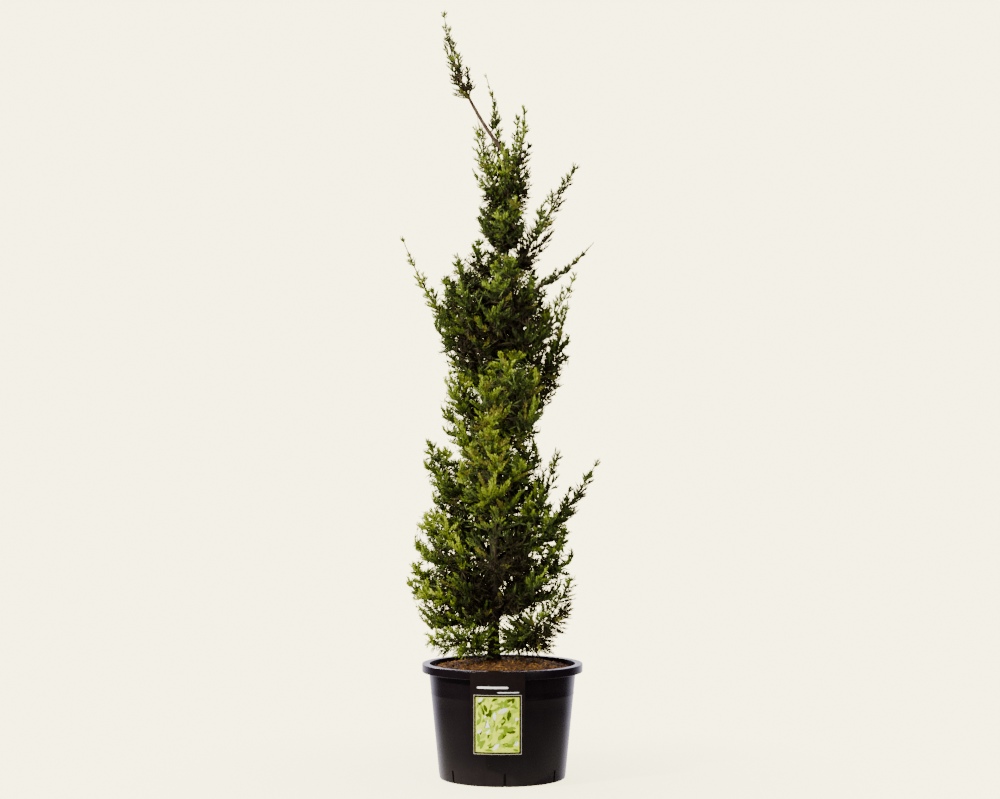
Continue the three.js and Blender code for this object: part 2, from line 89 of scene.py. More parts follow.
def unit(vectors: Array) -> Array:
    """Scale vectors to length 1 along their last axis."""
    return vectors / np.maximum(np.linalg.norm(vectors, axis=-1, keepdims=True), SHORTEST)


def heading(degrees: float) -> Array:
    """Give the level direction at an angle from +X to +Y."""
    angle = math.radians(degrees)
    return np.array([math.cos(angle), math.sin(angle), 0.0])


def round_angles(count: int) -> Array:
    """Give even angles round a circle."""
    return 2 * np.pi * np.arange(count) / count


def level_ring(count: int) -> Array:
    """Give the points of a circle of radius 1, as rows of two."""
    angles = round_angles(count)
    return np.stack([np.cos(angles), np.sin(angles)], 1)


def swing(first: Array, second: Array, angles: Array) -> Array:
    """Turn each row from the first direction toward the second by its angle."""
    return first * np.cos(angles)[:, None] + second * np.sin(angles)[:, None]


def square_pair(ways: Array, rng: Random) -> Pair:
    """Find two unit directions square to each way and to each other, at a random turn."""
    first = unit(np.cross(ways, unit(rng.normal(size=ways.shape))))
    return first, np.cross(ways, first)


class SeededDraws:
    """Draws from 0 to 1 that are the same for one seed as those that grew the solids."""

    def __init__(self, seed: int) -> None:
        """Start the row of draws."""
        self.state = seed & WORD

    def __call__(self) -> float:
        """Give the next draw.

        Returns:
            A number from 0 to 1.
        """
        self.state = (self.state + DRAW_STEP) & WORD
        mixed = ((self.state ^ (self.state >> 15)) * (self.state | 1)) & WORD
        mixed ^= (mixed + ((mixed ^ (mixed >> 7)) * (mixed | 61))) & WORD
        return ((mixed ^ (mixed >> 14)) & WORD) / 2**32


class Habit(Enum):
    """How a mass of foliage grows."""

    TUFT = "tuft"
    THICKET = "thicket"
    SPIKE = "spike"
    WISP = "wisp"

    def width(self, t: Array) -> Array:
        """Give the half width of a mass along its stem.

        Args:
            t: Shares of the way along the stem.

        Returns:
            Shares of the mass's belly.
        """
        if self in (Habit.TUFT, Habit.THICKET):
            start, run = TUFT_SWELL
            return np.sin(np.pi * (start + run * t))
        thinning, power = SPIKE_SLIM
        return (1 - thinning * t) ** power


class Quarter(Enum):
    """The part of the crown whose foliage is joined into one piece."""

    TOP = "foliage_of_top"
    LEFT_HIGH = "foliage_of_left_high"
    LEFT_LOW = "foliage_of_left_low"
    FRONT = "foliage_of_front"
    RIGHT_HIGH = "foliage_of_right_high"
    RIGHT_LOW = "foliage_of_right_low"
    BACK_HIGH = "foliage_of_back_high"
    BACK_LOW = "foliage_of_back_low"


class Tone(Enum):
    """How far a mass's leaves are lightened or darkened along the row of tints, as painted light and shade.
    """

    GLOOM = -2.2
    SHADE = -1.1
    DUSK = -0.6
    PLAIN = 0.0
    HALF_LIGHT = 0.5
    LIGHT = 0.9
    BRIGHT = 1.6


@dataclass(frozen=True)
class LimbPlan:
    """One mass of foliage and the limb that carries it, in millimetres and degrees.

    The limb leaves the trunk at a height, toward an angle from +X to +Y, with a level reach to a tip at its
    own height. Belly is half the mass's width, bare the share of the limb below the foliage, and bend and
    bend_out the shares of climb and reach at which it turns. Straw is the share of straw-coloured sprays, and
    lift how far the growth turns up to the light.
    """

    name: str
    habit: Habit
    quarter: Quarter
    tone: Tone
    height: float
    toward: float
    reach: float
    tip: float
    belly: float
    sprays: int
    bare: float = 0.0
    bend: float = 0.3
    bend_out: float = 0.6
    straw: float = 0.04
    lift: float = 1.0


def tuft(name: str, quarter: Quarter, tone: Tone, *sizes: float, straw: float = 0.04) -> LimbPlan:
    """Plan a full tuft from its height, toward, reach, tip, belly and sprays."""
    return LimbPlan(name, Habit.TUFT, quarter, tone, *sizes, straw=straw)


def thicket(name: str, quarter: Quarter, tone: Tone, *sizes: float, straw: float) -> LimbPlan:
    """Plan a thicket of thin growth from the sizes of a tuft."""
    return LimbPlan(name, Habit.THICKET, quarter, tone, *sizes, straw=straw)


def spike(name: str, quarter: Quarter, tone: Tone, *sizes: float, lift: float = 1.0) -> LimbPlan:
    """Plan a spike from its height, toward, reach, tip, belly, sprays, bare, bend and bend_out."""
    return LimbPlan(name, Habit.SPIKE, quarter, tone, *sizes, lift=lift)


def wisp(name: str, quarter: Quarter, tone: Tone, *sizes: float) -> LimbPlan:
    """Plan a spike of thin growth from the sizes of a spike."""
    return LimbPlan(name, Habit.WISP, quarter, tone, *sizes)


PLANS = (
    wisp("leader", Quarter.TOP, Tone.GLOOM, 1298, 181, 132, 1590, 44, 12, 0.36, 0.46, 0.82),
    spike("top_left", Quarter.TOP, Tone.DUSK, 1200, 186, 62, 1378, 60, 10, 0, 0.25),
    spike("top_right", Quarter.TOP, Tone.DUSK, 1208, 354, 38, 1390, 56, 10, 0, 0.2),
    spike("top_fan", Quarter.TOP, Tone.DUSK, 1216, 128, 38, 1384, 46, 9, 0, 0.25),
    spike("top_back", Quarter.TOP, Tone.DUSK, 1196, 50, 36, 1374, 52, 9, 0, 0.25),
    spike("top_front", Quarter.TOP, Tone.DUSK, 1180, 262, 40, 1310, 50, 8, 0, 0.25),
    spike("right_flare", Quarter.RIGHT_HIGH, Tone.SHADE, 1030, 352, 146, 1266, 52, 10, 0.06, 0.57, 0.55),
    wisp("right_whip", Quarter.RIGHT_HIGH, Tone.SHADE, 990, 356, 184, 1110, 20, 7, 0.3, 0.34),
    spike("right_horn", Quarter.RIGHT_HIGH, Tone.PLAIN, 838, 338, 160, 1036, 50, 10, 0.16, 0.42),
    wisp("left_spike", Quarter.LEFT_HIGH, Tone.DUSK, 862, 192, 212, 1120, 40, 10, 0.3, 0.22),
    spike("right_plume", Quarter.RIGHT_LOW, Tone.DUSK, 474, 28, 150, 668, 58, 10, 0.24, 0.3),
    wisp("right_reach", Quarter.RIGHT_LOW, Tone.DUSK, 410, 2, 216, 658, 50, 10, 0.28, 0.46),
    spike("right_skirt", Quarter.RIGHT_LOW, Tone.PLAIN, 276, 352, 158, 408, 84, 11, 0.2, 0.06, lift=0.3),
    spike("left_hem", Quarter.LEFT_LOW, Tone.DUSK, 284, 206, 142, 290, 70, 9, 0.12, 0.3, lift=0.35),
    tuft("upper_left", Quarter.TOP, Tone.DUSK, 1122, 192, 30, 1236, 46, 8),
    tuft("upper_front", Quarter.TOP, Tone.DUSK, 1108, 276, 40, 1220, 46, 8),
    tuft("upper_back", Quarter.TOP, Tone.DUSK, 1112, 104, 44, 1218, 46, 8),
    tuft("left_shoulder", Quarter.LEFT_HIGH, Tone.GLOOM, 914, 186, 54, 1106, 78, 9),
    tuft("left_brow", Quarter.LEFT_HIGH, Tone.GLOOM, 884, 214, 112, 1068, 72, 9),
    tuft("left_crook", Quarter.LEFT_HIGH, Tone.SHADE, 800, 164, 124, 1036, 66, 9),
    tuft("left_flank", Quarter.LEFT_HIGH, Tone.HALF_LIGHT, 680, 190, 88, 856, 72, 9),
    tuft("left_horn", Quarter.LEFT_LOW, Tone.DUSK, 544, 180, 140, 694, 60, 9),
    tuft("left_fan", Quarter.LEFT_LOW, Tone.PLAIN, 456, 162, 118, 616, 64, 8),
    tuft("left_low", Quarter.LEFT_LOW, Tone.HALF_LIGHT, 392, 194, 146, 544, 76, 10),
    tuft("left_skirt", Quarter.LEFT_LOW, Tone.PLAIN, 326, 184, 158, 436, 76, 10),
    tuft("front_upper", Quarter.FRONT, Tone.SHADE, 896, 276, 78, 1068, 86, 9, straw=0.1),
    tuft("front_middle", Quarter.FRONT, Tone.LIGHT, 716, 288, 86, 884, 88, 9, straw=0.16),
    tuft("front_lower", Quarter.FRONT, Tone.BRIGHT, 560, 262, 92, 724, 84, 10, straw=0.2),
    thicket("front_skirt", Quarter.FRONT, Tone.SHADE, 424, 272, 106, 572, 86, 10, straw=0.1),
    tuft("right_shoulder", Quarter.RIGHT_HIGH, Tone.PLAIN, 884, 18, 64, 1046, 76, 9),
    tuft("right_dusk", Quarter.RIGHT_HIGH, Tone.SHADE, 738, 6, 134, 952, 56, 9),
    tuft("right_fan", Quarter.RIGHT_LOW, Tone.PLAIN, 556, 2, 54, 728, 72, 9),
    tuft("right_heart", Quarter.RIGHT_LOW, Tone.PLAIN, 428, 330, 112, 600, 80, 10),
    tuft("right_low", Quarter.RIGHT_LOW, Tone.PLAIN, 356, 348, 148, 512, 68, 9),
    tuft("back_upper", Quarter.BACK_HIGH, Tone.PLAIN, 936, 96, 78, 1090, 82, 8),
    tuft("back_middle", Quarter.BACK_HIGH, Tone.PLAIN, 744, 92, 90, 920, 86, 8),
    tuft("back_lower", Quarter.BACK_HIGH, Tone.HALF_LIGHT, 566, 98, 98, 736, 86, 8),
    tuft("back_skirt", Quarter.BACK_LOW, Tone.PLAIN, 400, 92, 114, 560, 86, 8),
    tuft("back_left", Quarter.BACK_LOW, Tone.HALF_LIGHT, 340, 132, 128, 450, 68, 8),
    tuft("back_right", Quarter.BACK_LOW, Tone.PLAIN, 338, 56, 118, 460, 66, 8),
)

# The spur stands on the leader, which gives it its place.
SPUR = wisp("leader_spur", Quarter.TOP, Tone.SHADE, 0, 0, 0, 0, 24, 6)


@dataclass(frozen=True)
class Bend:
    """A limb's curve, which leaves its start toward the turn and ends at its tip."""

    start: Array
    turn: Array
    tip: Array

    def at(self, t: float | Array) -> Array:
        """Give the points at shares of the way along."""
        t = np.asarray(t, float)[..., None]
        return (1 - t) ** 2 * self.start + 2 * (1 - t) * t * self.turn + t**2 * self.tip

    def onward(self, t: float | Array) -> Array:
        """Give the directions at shares of the way along."""
        t = np.asarray(t, float)[..., None]
        return unit((1 - t) * (self.turn - self.start) + t * (self.tip - self.turn))

    def split(self, share: float, gap: float) -> tuple[Bend, Bend]:
        """Cut the curve in two.

        Args:
            share: Where along it is cut.
            gap: How far past the cut the second curve starts.

        Returns:
            The curve below the cut and the curve above it.
        """
        low = mix(self.start, self.turn, share)
        high = mix(self.turn, self.tip, share)
        middle = mix(low, high, share)
        return Bend(self.start, low, middle), Bend(middle + unit(high - low) * gap, high, self.tip)


@dataclass
class MeshArrays:
    """Vertices, faces and tints that are gathered and then made into one mesh."""

    points: list[Array] = field(default_factory=list)
    faces: list[Array] = field(default_factory=list)
    tints: list[Array] = field(default_factory=list)
    count: int = 0

    def add(self, points: Array, faces: Array, tint: int | Array = 0) -> None:
        """Add a set of triangles.

        Args:
            points: Vertices in millimetres.
            faces: Three vertex numbers a row, counted within this set.
            tint: One material number, or one for each face.
        """
        self.points.append(points.reshape(-1, 3))
        self.faces.append(faces.reshape(-1, 3) + self.count)
        self.tints.append(np.broadcast_to(tint, len(self.faces[-1])).astype(np.int32))
        self.count += len(self.points[-1])

    def build(self, name: str, materials: list[bpy.types.Material], smooth: bool = True) -> bpy.types.Object:
        """Make the mesh and its object.

        Args:
            name: Name of the piece.
            materials: One for each tint number.
            smooth: True where its faces are shaded smooth.

        Returns:
            The new object.
        """
        points = np.concatenate(self.points) * MM
        faces = np.concatenate(self.faces).astype(np.int32)
        mesh = bpy.data.meshes.new(name)
        mesh.vertices.add(len(points))
        mesh.vertices.foreach_set("co", points.astype(np.float32).ravel())
        mesh.loops.add(faces.size)
        mesh.loops.foreach_set("vertex_index", faces.ravel())
        mesh.polygons.add(len(faces))
        mesh.polygons.foreach_set("loop_start", np.arange(0, faces.size, 3, dtype=np.int32))
        for material in materials:
            mesh.materials.append(material)
        mesh.polygons.foreach_set("material_index", np.concatenate(self.tints))
        mesh.polygons.foreach_set("use_smooth", np.full(len(faces), smooth))
        mesh.update(calc_edges=True)
        obj = bpy.data.objects.new(name, mesh)
        bpy.context.scene.collection.objects.link(obj)
        return obj


def grid_faces(rows: int, columns: int, closed: bool) -> Array:
    """Number the triangles of a grid of points.

    Args:
        rows: Rows of points.
        columns: Points in a row.
        closed: True where each row joins its own start.

    Returns:
        Three vertex numbers a row, facing out where rows climb and columns turn to the left.
    """
    steps = np.arange(columns if closed else columns - 1)
    r, c = np.meshgrid(np.arange(rows - 1), steps, indexing="ij")
    a = (r * columns + c).ravel()
    b = (r * columns + (c + 1) % columns).ravel()
    return np.concatenate([np.stack([a, b, b + columns], 1), np.stack([a, b + columns, a + columns], 1)])


def fan_faces(count: int, facing_up: bool) -> Array:
    """Number the triangles that close a ring of points.

    Args:
        count: Points in the ring.
        facing_up: True where the end faces up, False where it faces down.

    Returns:
        Three vertex numbers a row.
    """
    k = np.arange(1, count - 1)
    rim = (k, k + 1) if facing_up else (k + 1, k)
    return np.stack([np.zeros_like(k), *rim], 1)


def tube(centres: Array, across: Array, over: Array, radii: Array) -> Pair:
    """Skin a tube over rings.

    Args:
        centres: One point per ring.
        across: One direction per ring, square to the tube.
        over: One direction per ring, square to both.
        radii: A radius for each point of each ring.

    Returns:
        The points and the faces, with flat ends.
    """
    rows, sides = radii.shape
    angle = round_angles(sides)[None, :, None]
    ring = across[:, None] * np.cos(angle) + over[:, None] * np.sin(angle)
    points = centres[:, None] + ring * radii[..., None]
    ends = (fan_faces(sides, False), fan_faces(sides, True) + (rows - 1) * sides)
    return points.reshape(-1, 3), np.concatenate([grid_faces(rows, sides, True), *ends])


def numbered(pattern: list[list[int]], each: int, count: int) -> Array:
    """Repeat the faces of one small piece, which has so many points each, for a count of them."""
    return np.array(pattern)[None] + each * np.arange(count)[:, None, None]


def blades(roots: Array, ways: Array, lengths: Array, widths: Array, rng: Random) -> Pair:
    """Make flat pointed blades, widest below their middle.

    Args:
        roots: Where each starts.
        ways: Unit direction of each.
        lengths: Length of each.
        widths: Half of the greatest width of each.
        rng: Source of their random turns.

    Returns:
        The points, four to a blade, and the faces, two to a blade.
    """
    across, _ = square_pair(ways, rng)
    middle = roots + ways * (BLADE_WIDEST * lengths)[:, None]
    tips = roots + ways * lengths[:, None]
    half = across * widths[:, None]
    points = np.stack([roots, middle + half, tips, middle - half], 1)
    return points, numbered([[0, 3, 1], [3, 2, 1]], 4, len(roots))


def cones(starts: Array, ends: Array, radii: Array, rng: Random) -> Pair:
    """Make three-sided twigs that taper to a point.

    Args:
        starts: Where each starts.
        ends: The tip of each.
        radii: Radius of each at its start.
        rng: Source of their random turns.

    Returns:
        The points, four to a twig, and the faces, three to a twig.
    """
    first, second = square_pair(unit(ends - starts), rng)
    points = np.empty((len(starts), 4, 3))
    for k in range(3):
        angle = 2 * math.pi * k / 3
        points[:, k] = starts + (first * math.cos(angle) + second * math.sin(angle)) * radii[:, None]
    points[:, 3] = ends
    return points, numbered([[k, (k + 1) % 3, 3] for k in range(3)], 4, len(starts))


@dataclass(frozen=True)
class Grain:
    """A cloudy pattern on a surface, stretched by a scale for each axis."""

    scale: float
    detail: float = 3.0
    stretch: Point = (1.0, 1.0, 1.0)
    roughness: float = 0.6


@dataclass(frozen=True)
class Relief:
    """How strongly a pattern raises a surface, and over how many metres."""

    strength: float
    distance: float


class Nodes:
    """The nodes of a material or of the world."""

    def __init__(self, tree: bpy.types.NodeTree) -> None:
        """Take the tree that the nodes stand in."""
        self.tree = tree

    def node(self, kind: str, **values: object) -> bpy.types.Node:
        """Add a node.

        Args:
            kind: Its type name, without the common start.
            values: Input values and properties by name, with _ for spaces.

        Returns:
            The new node.
        """
        made = self.tree.nodes.new("ShaderNode" + kind)
        for key, value in values.items():
            socket = made.inputs.get(key.replace("_", " "))
            if socket is not None:
                socket.default_value = value
            else:
                setattr(made, key, value)
        return made

    def link(self, source: Socket, target: Socket) -> None:
        """Join an output to an input."""
        self.tree.links.new(source, target)

    def ramp(self, source: Socket, places: tuple[float, ...], colours: tuple[Colour, ...]) -> Socket:
        """Turn a number into a colour.

        Args:
            source: The number.
            places: Places along it.
            colours: The colour at each place.

        Returns:
            The colour.
        """
        made = self.node("ValToRGB")
        bar = made.color_ramp.elements
        while len(bar) < len(places):
            bar.new(0.5)
        for element, place, colour in zip(bar, places, colours):
            element.position = place
            element.color = (*colour, 1.0)
        self.link(source, made.inputs["Fac"])
        return made.outputs["Color"]


class Shader(Nodes):
    """A material that is put together node by node."""

    def __init__(self, name: str) -> None:
        """Make an empty material with a surface shader.

        Args:
            name: Name of the material.
        """
        self.material = bpy.data.materials.new(name)
        self.material.use_nodes = True
        super().__init__(self.material.node_tree)
        self.surface = self.tree.nodes["Principled BSDF"]

    def set(self, **values: object) -> None:
        """Set plain values on the surface shader by the names of its sockets, with _ for spaces."""
        for key, value in values.items():
            self.surface.inputs[key.replace("_", " ")].default_value = value

    def feed(self, name: str, source: Socket) -> None:
        """Join an output to an input of the surface shader."""
        self.link(source, self.surface.inputs[name])

    def spot(self) -> Socket:
        """Give the place on the object."""
        return self.node("TexCoord").outputs["Object"]

    def noise(self, grain: Grain) -> Socket:
        """Add a cloudy pattern.

        Args:
            grain: The pattern.

        Returns:
            A number from 0 to 1.
        """
        spot = self.spot()
        mapping = self.node("Mapping", Scale=grain.stretch)
        self.link(spot, mapping.inputs["Vector"])
        made = self.node("TexNoise", Scale=grain.scale, Detail=grain.detail, Roughness=grain.roughness)
        self.link(mapping.outputs["Vector"], made.inputs["Vector"])
        return made.outputs["Fac"]

    def range(self, source: Socket, low: float, high: float) -> Socket:
        """Stretch a number.

        Args:
            source: A number from 0 to 1.
            low: What 0 becomes.
            high: What 1 becomes.

        Returns:
            The new number.
        """
        made = self.node("MapRange", To_Min=low, To_Max=high)
        self.link(source, made.inputs["Value"])
        return made.outputs["Result"]

    def blend(self, share: Socket, first: Socket, second: Colour) -> Socket:
        """Blend a plain colour over another one.

        Args:
            share: How much of the plain colour there is.
            first: The other colour.
            second: The plain colour.

        Returns:
            The blended colour.
        """
        made = self.node("Mix", data_type="RGBA")
        self.link(share, made.inputs["Factor"])
        self.link(first, made.inputs["A"])
        made.inputs["B"].default_value = (*second, 1.0)
        return made.outputs["Result"]

    def bump(self, height: Socket, relief: Relief) -> None:
        """Raise the surface by a number.

        Args:
            height: The number.
            relief: How far it raises the surface.
        """
        made = self.node("Bump", Strength=relief.strength, Distance=relief.distance)
        self.link(height, made.inputs["Height"])
        self.feed("Normal", made.outputs["Normal"])


@dataclass(frozen=True)
class LeafFinish:
    """A plain tint of scale leaves or thin twigs, with a faint grain."""

    name: str
    colour: Colour
    roughness: float = 0.5
    specular: float = 0.04
    grain: Grain = Grain(900.0, 2.0)
    relief: Relief = Relief(0.4, 0.0006)

    def material(self) -> bpy.types.Material:
        """Make the material.

        Returns:
            The new material.
        """
        shader = Shader(self.name)
        shader.set(Base_Color=(*self.colour, 1.0), Roughness=self.roughness)
        shader.set(Specular_IOR_Level=self.specular)
        shader.bump(shader.noise(self.grain), self.relief)
        return shader.material


@dataclass(frozen=True)
class BarkFinish:
    """Stringy bark, darker in its furrows."""

    name: str
    furrow: Colour
    ridge: Colour
    pale: Colour
    strings: Grain = Grain(210.0, 6.0, (1.0, 1.0, 0.09))
    string_stops: tuple[float, float, float] = (0.32, 0.52, 0.72)
    patches: Grain = Grain(34.0, 3.0, (1.0, 1.0, 0.4))
    patch_most: float = 0.75
    roughness: float = 0.9
    specular: float = 0.2
    relief: Relief = Relief(0.8, 0.0012)

    def material(self) -> bpy.types.Material:
        """Make the material.

        Returns:
            The new material.
        """
        shader = Shader(self.name)
        strings = shader.noise(self.strings)
        shade = shader.range(shader.noise(self.patches), 0.0, self.patch_most)
        colour = shader.ramp(strings, self.string_stops, (self.furrow, self.ridge, self.pale))
        shader.feed("Base Color", shader.blend(shade, colour, self.furrow))
        shader.set(Roughness=self.roughness, Specular_IOR_Level=self.specular)
        shader.bump(strings, self.relief)
        return shader.material


@dataclass(frozen=True)
class CutWoodFinish:
    """A pruned end of pale wood with rings."""

    name: str
    pale: Colour
    ring: Colour
    ring_scale: float
    ring_waver: float = 1.5
    ring_stops: Span = (0.2, 0.9)
    roughness: float = 0.8

    def material(self) -> bpy.types.Material:
        """Make the material.

        Returns:
            The new material.
        """
        shader = Shader(self.name)
        rings = shader.node("TexWave", wave_type="RINGS", rings_direction="Z")
        rings.inputs["Scale"].default_value = self.ring_scale
        rings.inputs["Distortion"].default_value = self.ring_waver
        shader.link(shader.spot(), rings.inputs["Vector"])
        shader.feed("Base Color", shader.ramp(rings.outputs["Fac"], self.ring_stops, (self.pale, self.ring)))
        shader.set(Roughness=self.roughness)
        return shader.material


@dataclass(frozen=True)
class PotFinish:
    """Satin black plastic with scuffs, dusty round its foot, with the dust's height in metres."""

    name: str
    black: Colour
    scuff: Colour
    dust: Colour
    dust_height: float
    dust_most: float = 0.75
    dust_patches: Grain = Grain(60.0, 5.0)
    dust_span: Span = (0.2, 1.3)
    smears: Grain = Grain(14.0, 5.0, (1.0, 1.0, 0.5))
    smear_stops: Span = (0.38, 0.8)
    gloss: Grain = Grain(40.0, 4.0)
    gloss_span: Span = (0.2, 0.34)
    specular: float = 0.15
    grain: Grain = Grain(700.0, 3.0)
    relief: Relief = Relief(0.1, 0.0004)

    def material(self) -> bpy.types.Material:
        """Make the material.

        Returns:
            The new material.
        """
        shader = Shader(self.name)
        plain = shader.ramp(shader.noise(self.smears), self.smear_stops, (self.black, self.scuff))
        shader.feed("Base Color", shader.blend(self.dusty(shader), plain, self.dust))
        shader.feed("Roughness", shader.range(shader.noise(self.gloss), *self.gloss_span))
        shader.set(Specular_IOR_Level=self.specular)
        shader.bump(shader.noise(self.grain), self.relief)
        return shader.material

    def dusty(self, shader: Shader) -> Socket:
        """Add the patchy dust, which thins out upward.

        Args:
            shader: The material that it is for.

        Returns:
            The share of dust.
        """
        parts = shader.node("SeparateXYZ")
        shader.link(shader.spot(), parts.inputs["Vector"])
        low = shader.node("MapRange", From_Max=self.dust_height, To_Min=self.dust_most, To_Max=0.0)
        shader.link(parts.outputs["Z"], low.inputs["Value"])
        patchy = shader.node("Math", operation="MULTIPLY")
        shader.link(low.outputs["Result"], patchy.inputs[0])
        shader.link(shader.range(shader.noise(self.dust_patches), *self.dust_span), patchy.inputs[1])
        return patchy.outputs["Value"]


@dataclass(frozen=True)
class MulchFinish:
    """Bark mulch, a darker copy of it as painted shade, or one tint of its chips."""

    name: str
    dark: Colour
    light: Colour
    grain: Grain
    stops: Span = (0.35, 0.68)
    roughness: float = 0.92
    specular: float = 0.2
    relief: Relief = Relief(0.7, 0.0015)

    def material(self) -> bpy.types.Material:
        """Make the material.

        Returns:
            The new material.
        """
        shader = Shader(self.name)
        grains = shader.noise(self.grain)
        shader.feed("Base Color", shader.ramp(grains, self.stops, (self.dark, self.light)))
        shader.set(Roughness=self.roughness, Specular_IOR_Level=self.specular)
        shader.bump(grains, self.relief)
        return shader.material


@dataclass(frozen=True)
class PrintFinish:
    """One printed colour of the label, under a thin gloss."""

    name: str
    colour: Colour
    second: Colour
    roughness: float = 0.32
    specular: float = 0.08
    cloud: Grain = Grain(120.0, 3.0)
    stops: Span = (0.35, 0.7)
    grain: Grain = Grain(500.0, 2.0)
    relief: Relief = Relief(0.08, 0.0003)

    def material(self) -> bpy.types.Material:
        """Make the material.

        Returns:
            The new material.
        """
        shader = Shader(self.name)
        cloud = shader.noise(self.cloud)
        shader.feed("Base Color", shader.ramp(cloud, self.stops, (self.colour, self.second)))
        shader.set(Roughness=self.roughness, Specular_IOR_Level=self.specular)
        shader.bump(shader.noise(self.grain), self.relief)
        return shader.material


def place_piece(obj: bpy.types.Object, nodes: list[str]) -> None:
    """Fix a piece to the plant's body, hide the solids that it stands for and log its triangles.

    Args:
        obj: The piece.
        nodes: Names of the solids that it replaces.
    """
    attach(obj, BODY)
    if nodes:
        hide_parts(*nodes)
    obj.data.calc_loop_triangles()
    LOG.info("%s: %d triangles", obj.name, len(obj.data.loop_triangles))


@dataclass
class Trunk:
    """The trunk, whole from its flare at the soil to its cut stub, in millimetres."""

    foot: Point = (-19.0, 0.0, 243.3)
    bends: tuple[Point, ...] = (
        (-18.0, -3.0, 370.0),
        (-10.0, 4.0, 620.0),
        (2.0, -3.0, 900.0),
        (8.0, 2.0, 1130.0),
    )
    stub: Point = (10.4, 0.0, 1308.0)
    foot_radius: float = 11.8
    stub_radius: float = 4.8
    flare_extra: float = 4.2
    flare_height: float = 26.0
    flare_lobes: int = 5
    flare_lobe_share: float = 0.3
    samples: int = 400
    even_power: float = 0.5
    rings: int = 380
    sides: int = 40
    relief: float = 0.9
    relief_by_girth: Span = (0.3, 1.2)
    twist: float = 0.0016
    string_scale: float = 0.34
    string_climb: float = 0.02
    string_kind: tuple[float, ...] = (0.9, 2.1, 3, 1.0, 2.0)
    lump_share: float = 0.5
    lump_scale: Point = (0.4, 0.4, 1.3)
    cut_sides: int = 28
    cut_lift: float = 0.15
    cut_shares: tuple[float, ...] = (0.97, 0.9, 0.5, 0.06)
    cut_heights: tuple[float, ...] = (-0.8, 0.35, 0.5, 0.55)
    bark: BarkFinish = BarkFinish(
        "bark_of_trunk", (0.005, 0.003, 0.002), (0.022, 0.013, 0.009), (0.06, 0.04, 0.027)
    )
    wood: CutWoodFinish = CutWoodFinish("cut_wood", (0.42, 0.3, 0.19), (0.25, 0.16, 0.1), 260.0)
    line: Array = field(init=False)

    def __post_init__(self) -> None:
        """Sample the line that the trunk follows."""
        knots = np.array([self.foot, *self.bends, self.stub])
        ends = [2 * knots[0] - knots[1], *knots, 2 * knots[-1] - knots[-2]]
        self.line = np.concatenate([self.stretch(*ends[k : k + 4]) for k in range(len(knots) - 1)])

    def stretch(self, p0: Array, p1: Array, p2: Array, p3: Array) -> Array:
        """Sample the even curve between the middle two of four knots.

        Args:
            p0: The knot before the curve.
            p1: The knot where it starts.
            p2: The knot where it ends.
            p3: The knot after it.

        Returns:
            Points along it.
        """
        d0, d1, d2 = (np.linalg.norm(b - a) ** self.even_power for a, b in ((p0, p1), (p1, p2), (p2, p3)))
        leave = ((p1 - p0) / d0 - (p2 - p0) / (d0 + d1) + (p2 - p1) / d1) * d1
        arrive = ((p2 - p1) / d1 - (p3 - p1) / (d1 + d2) + (p3 - p2) / d2) * d1
        t = np.linspace(0, 1, self.samples)[:, None]
        square = -3 * p1 + 3 * p2 - 2 * leave - arrive
        cube = 2 * p1 - 2 * p2 + leave + arrive
        return p1 + leave * t + square * t**2 + cube * t**3

    def middle(self, heights: float | Array) -> Array:
        """Find the trunk's middle.

        Args:
            heights: Heights to find it at.

        Returns:
            One point for each height.
        """
        heights = np.asarray(heights, float)
        level = [np.interp(heights, self.line[:, 2], self.line[:, axis]) for axis in (0, 1)]
        return np.stack([*level, heights], -1)

    def nearest(self, points: Array) -> Array:
        """Give the trunk's middle level with each point, or at its nearer end."""
        return self.middle(np.clip(points[:, 2], self.foot[2], self.stub[2]))

    def radius(self, heights: float | Array, angles: float | Array) -> Array:
        """Find the trunk's radius.

        Args:
            heights: Heights to find it at.
            angles: Angles round it.

        Returns:
            One radius for each pair.
        """
        share = (heights - self.foot[2]) / (self.stub[2] - self.foot[2])
        flare = self.flare_extra * np.exp((self.foot[2] - heights) / self.flare_height)
        lobe = 1 + self.flare_lobe_share * np.cos(self.flare_lobes * angles)
        return mix(self.foot_radius, self.stub_radius, share) + flare * lobe

    def bark_relief(self, centres: Array, angles: Array, radii: Array) -> Array:
        """Work out how far stringy bark stands in or out.

        Args:
            centres: The middle of each ring.
            angles: The angle of each point of a ring.
            radii: The smooth radius of each point of each ring.

        Returns:
            What is added to each radius.
        """
        heights = np.repeat(centres[:, 2], len(angles))
        turn = np.tile(angles, len(centres)) + self.twist * heights
        girth = np.repeat(radii[:, 0], len(angles))
        level = [wave(turn) * girth * self.string_scale for wave in (np.cos, np.sin)]
        spots = np.stack([*level, heights * self.string_climb], 1)
        strings = np.array([noise.ridged_multi_fractal(Vector(p), *self.string_kind) for p in spots])
        lumps = np.array([noise.noise(Vector(p)) for p in spots * self.lump_scale])
        strings = self.relief * (strings - strings.mean()) / (2 * strings.std())
        raised = strings + self.lump_share * self.relief * lumps
        return raised.reshape(radii.shape) * np.clip(radii / self.foot_radius, *self.relief_by_girth)

    def build(self) -> None:
        """Make the bark and the pruned end."""
        heights = np.linspace(self.foot[2], self.stub[2], self.rings)
        centres = self.middle(heights)
        angles = round_angles(self.sides)
        radii = self.radius(heights[:, None], angles[None])
        radii = radii + self.bark_relief(centres, angles, radii)
        across = np.tile([1.0, 0.0, 0.0], (self.rings, 1))
        over = np.tile([0.0, 1.0, 0.0], (self.rings, 1))
        arrays = MeshArrays()
        arrays.add(*tube(centres, across, over, radii))
        place_piece(arrays.build("trunk_bark", [self.bark.material()]), ["trunk"])
        self.build_cut()

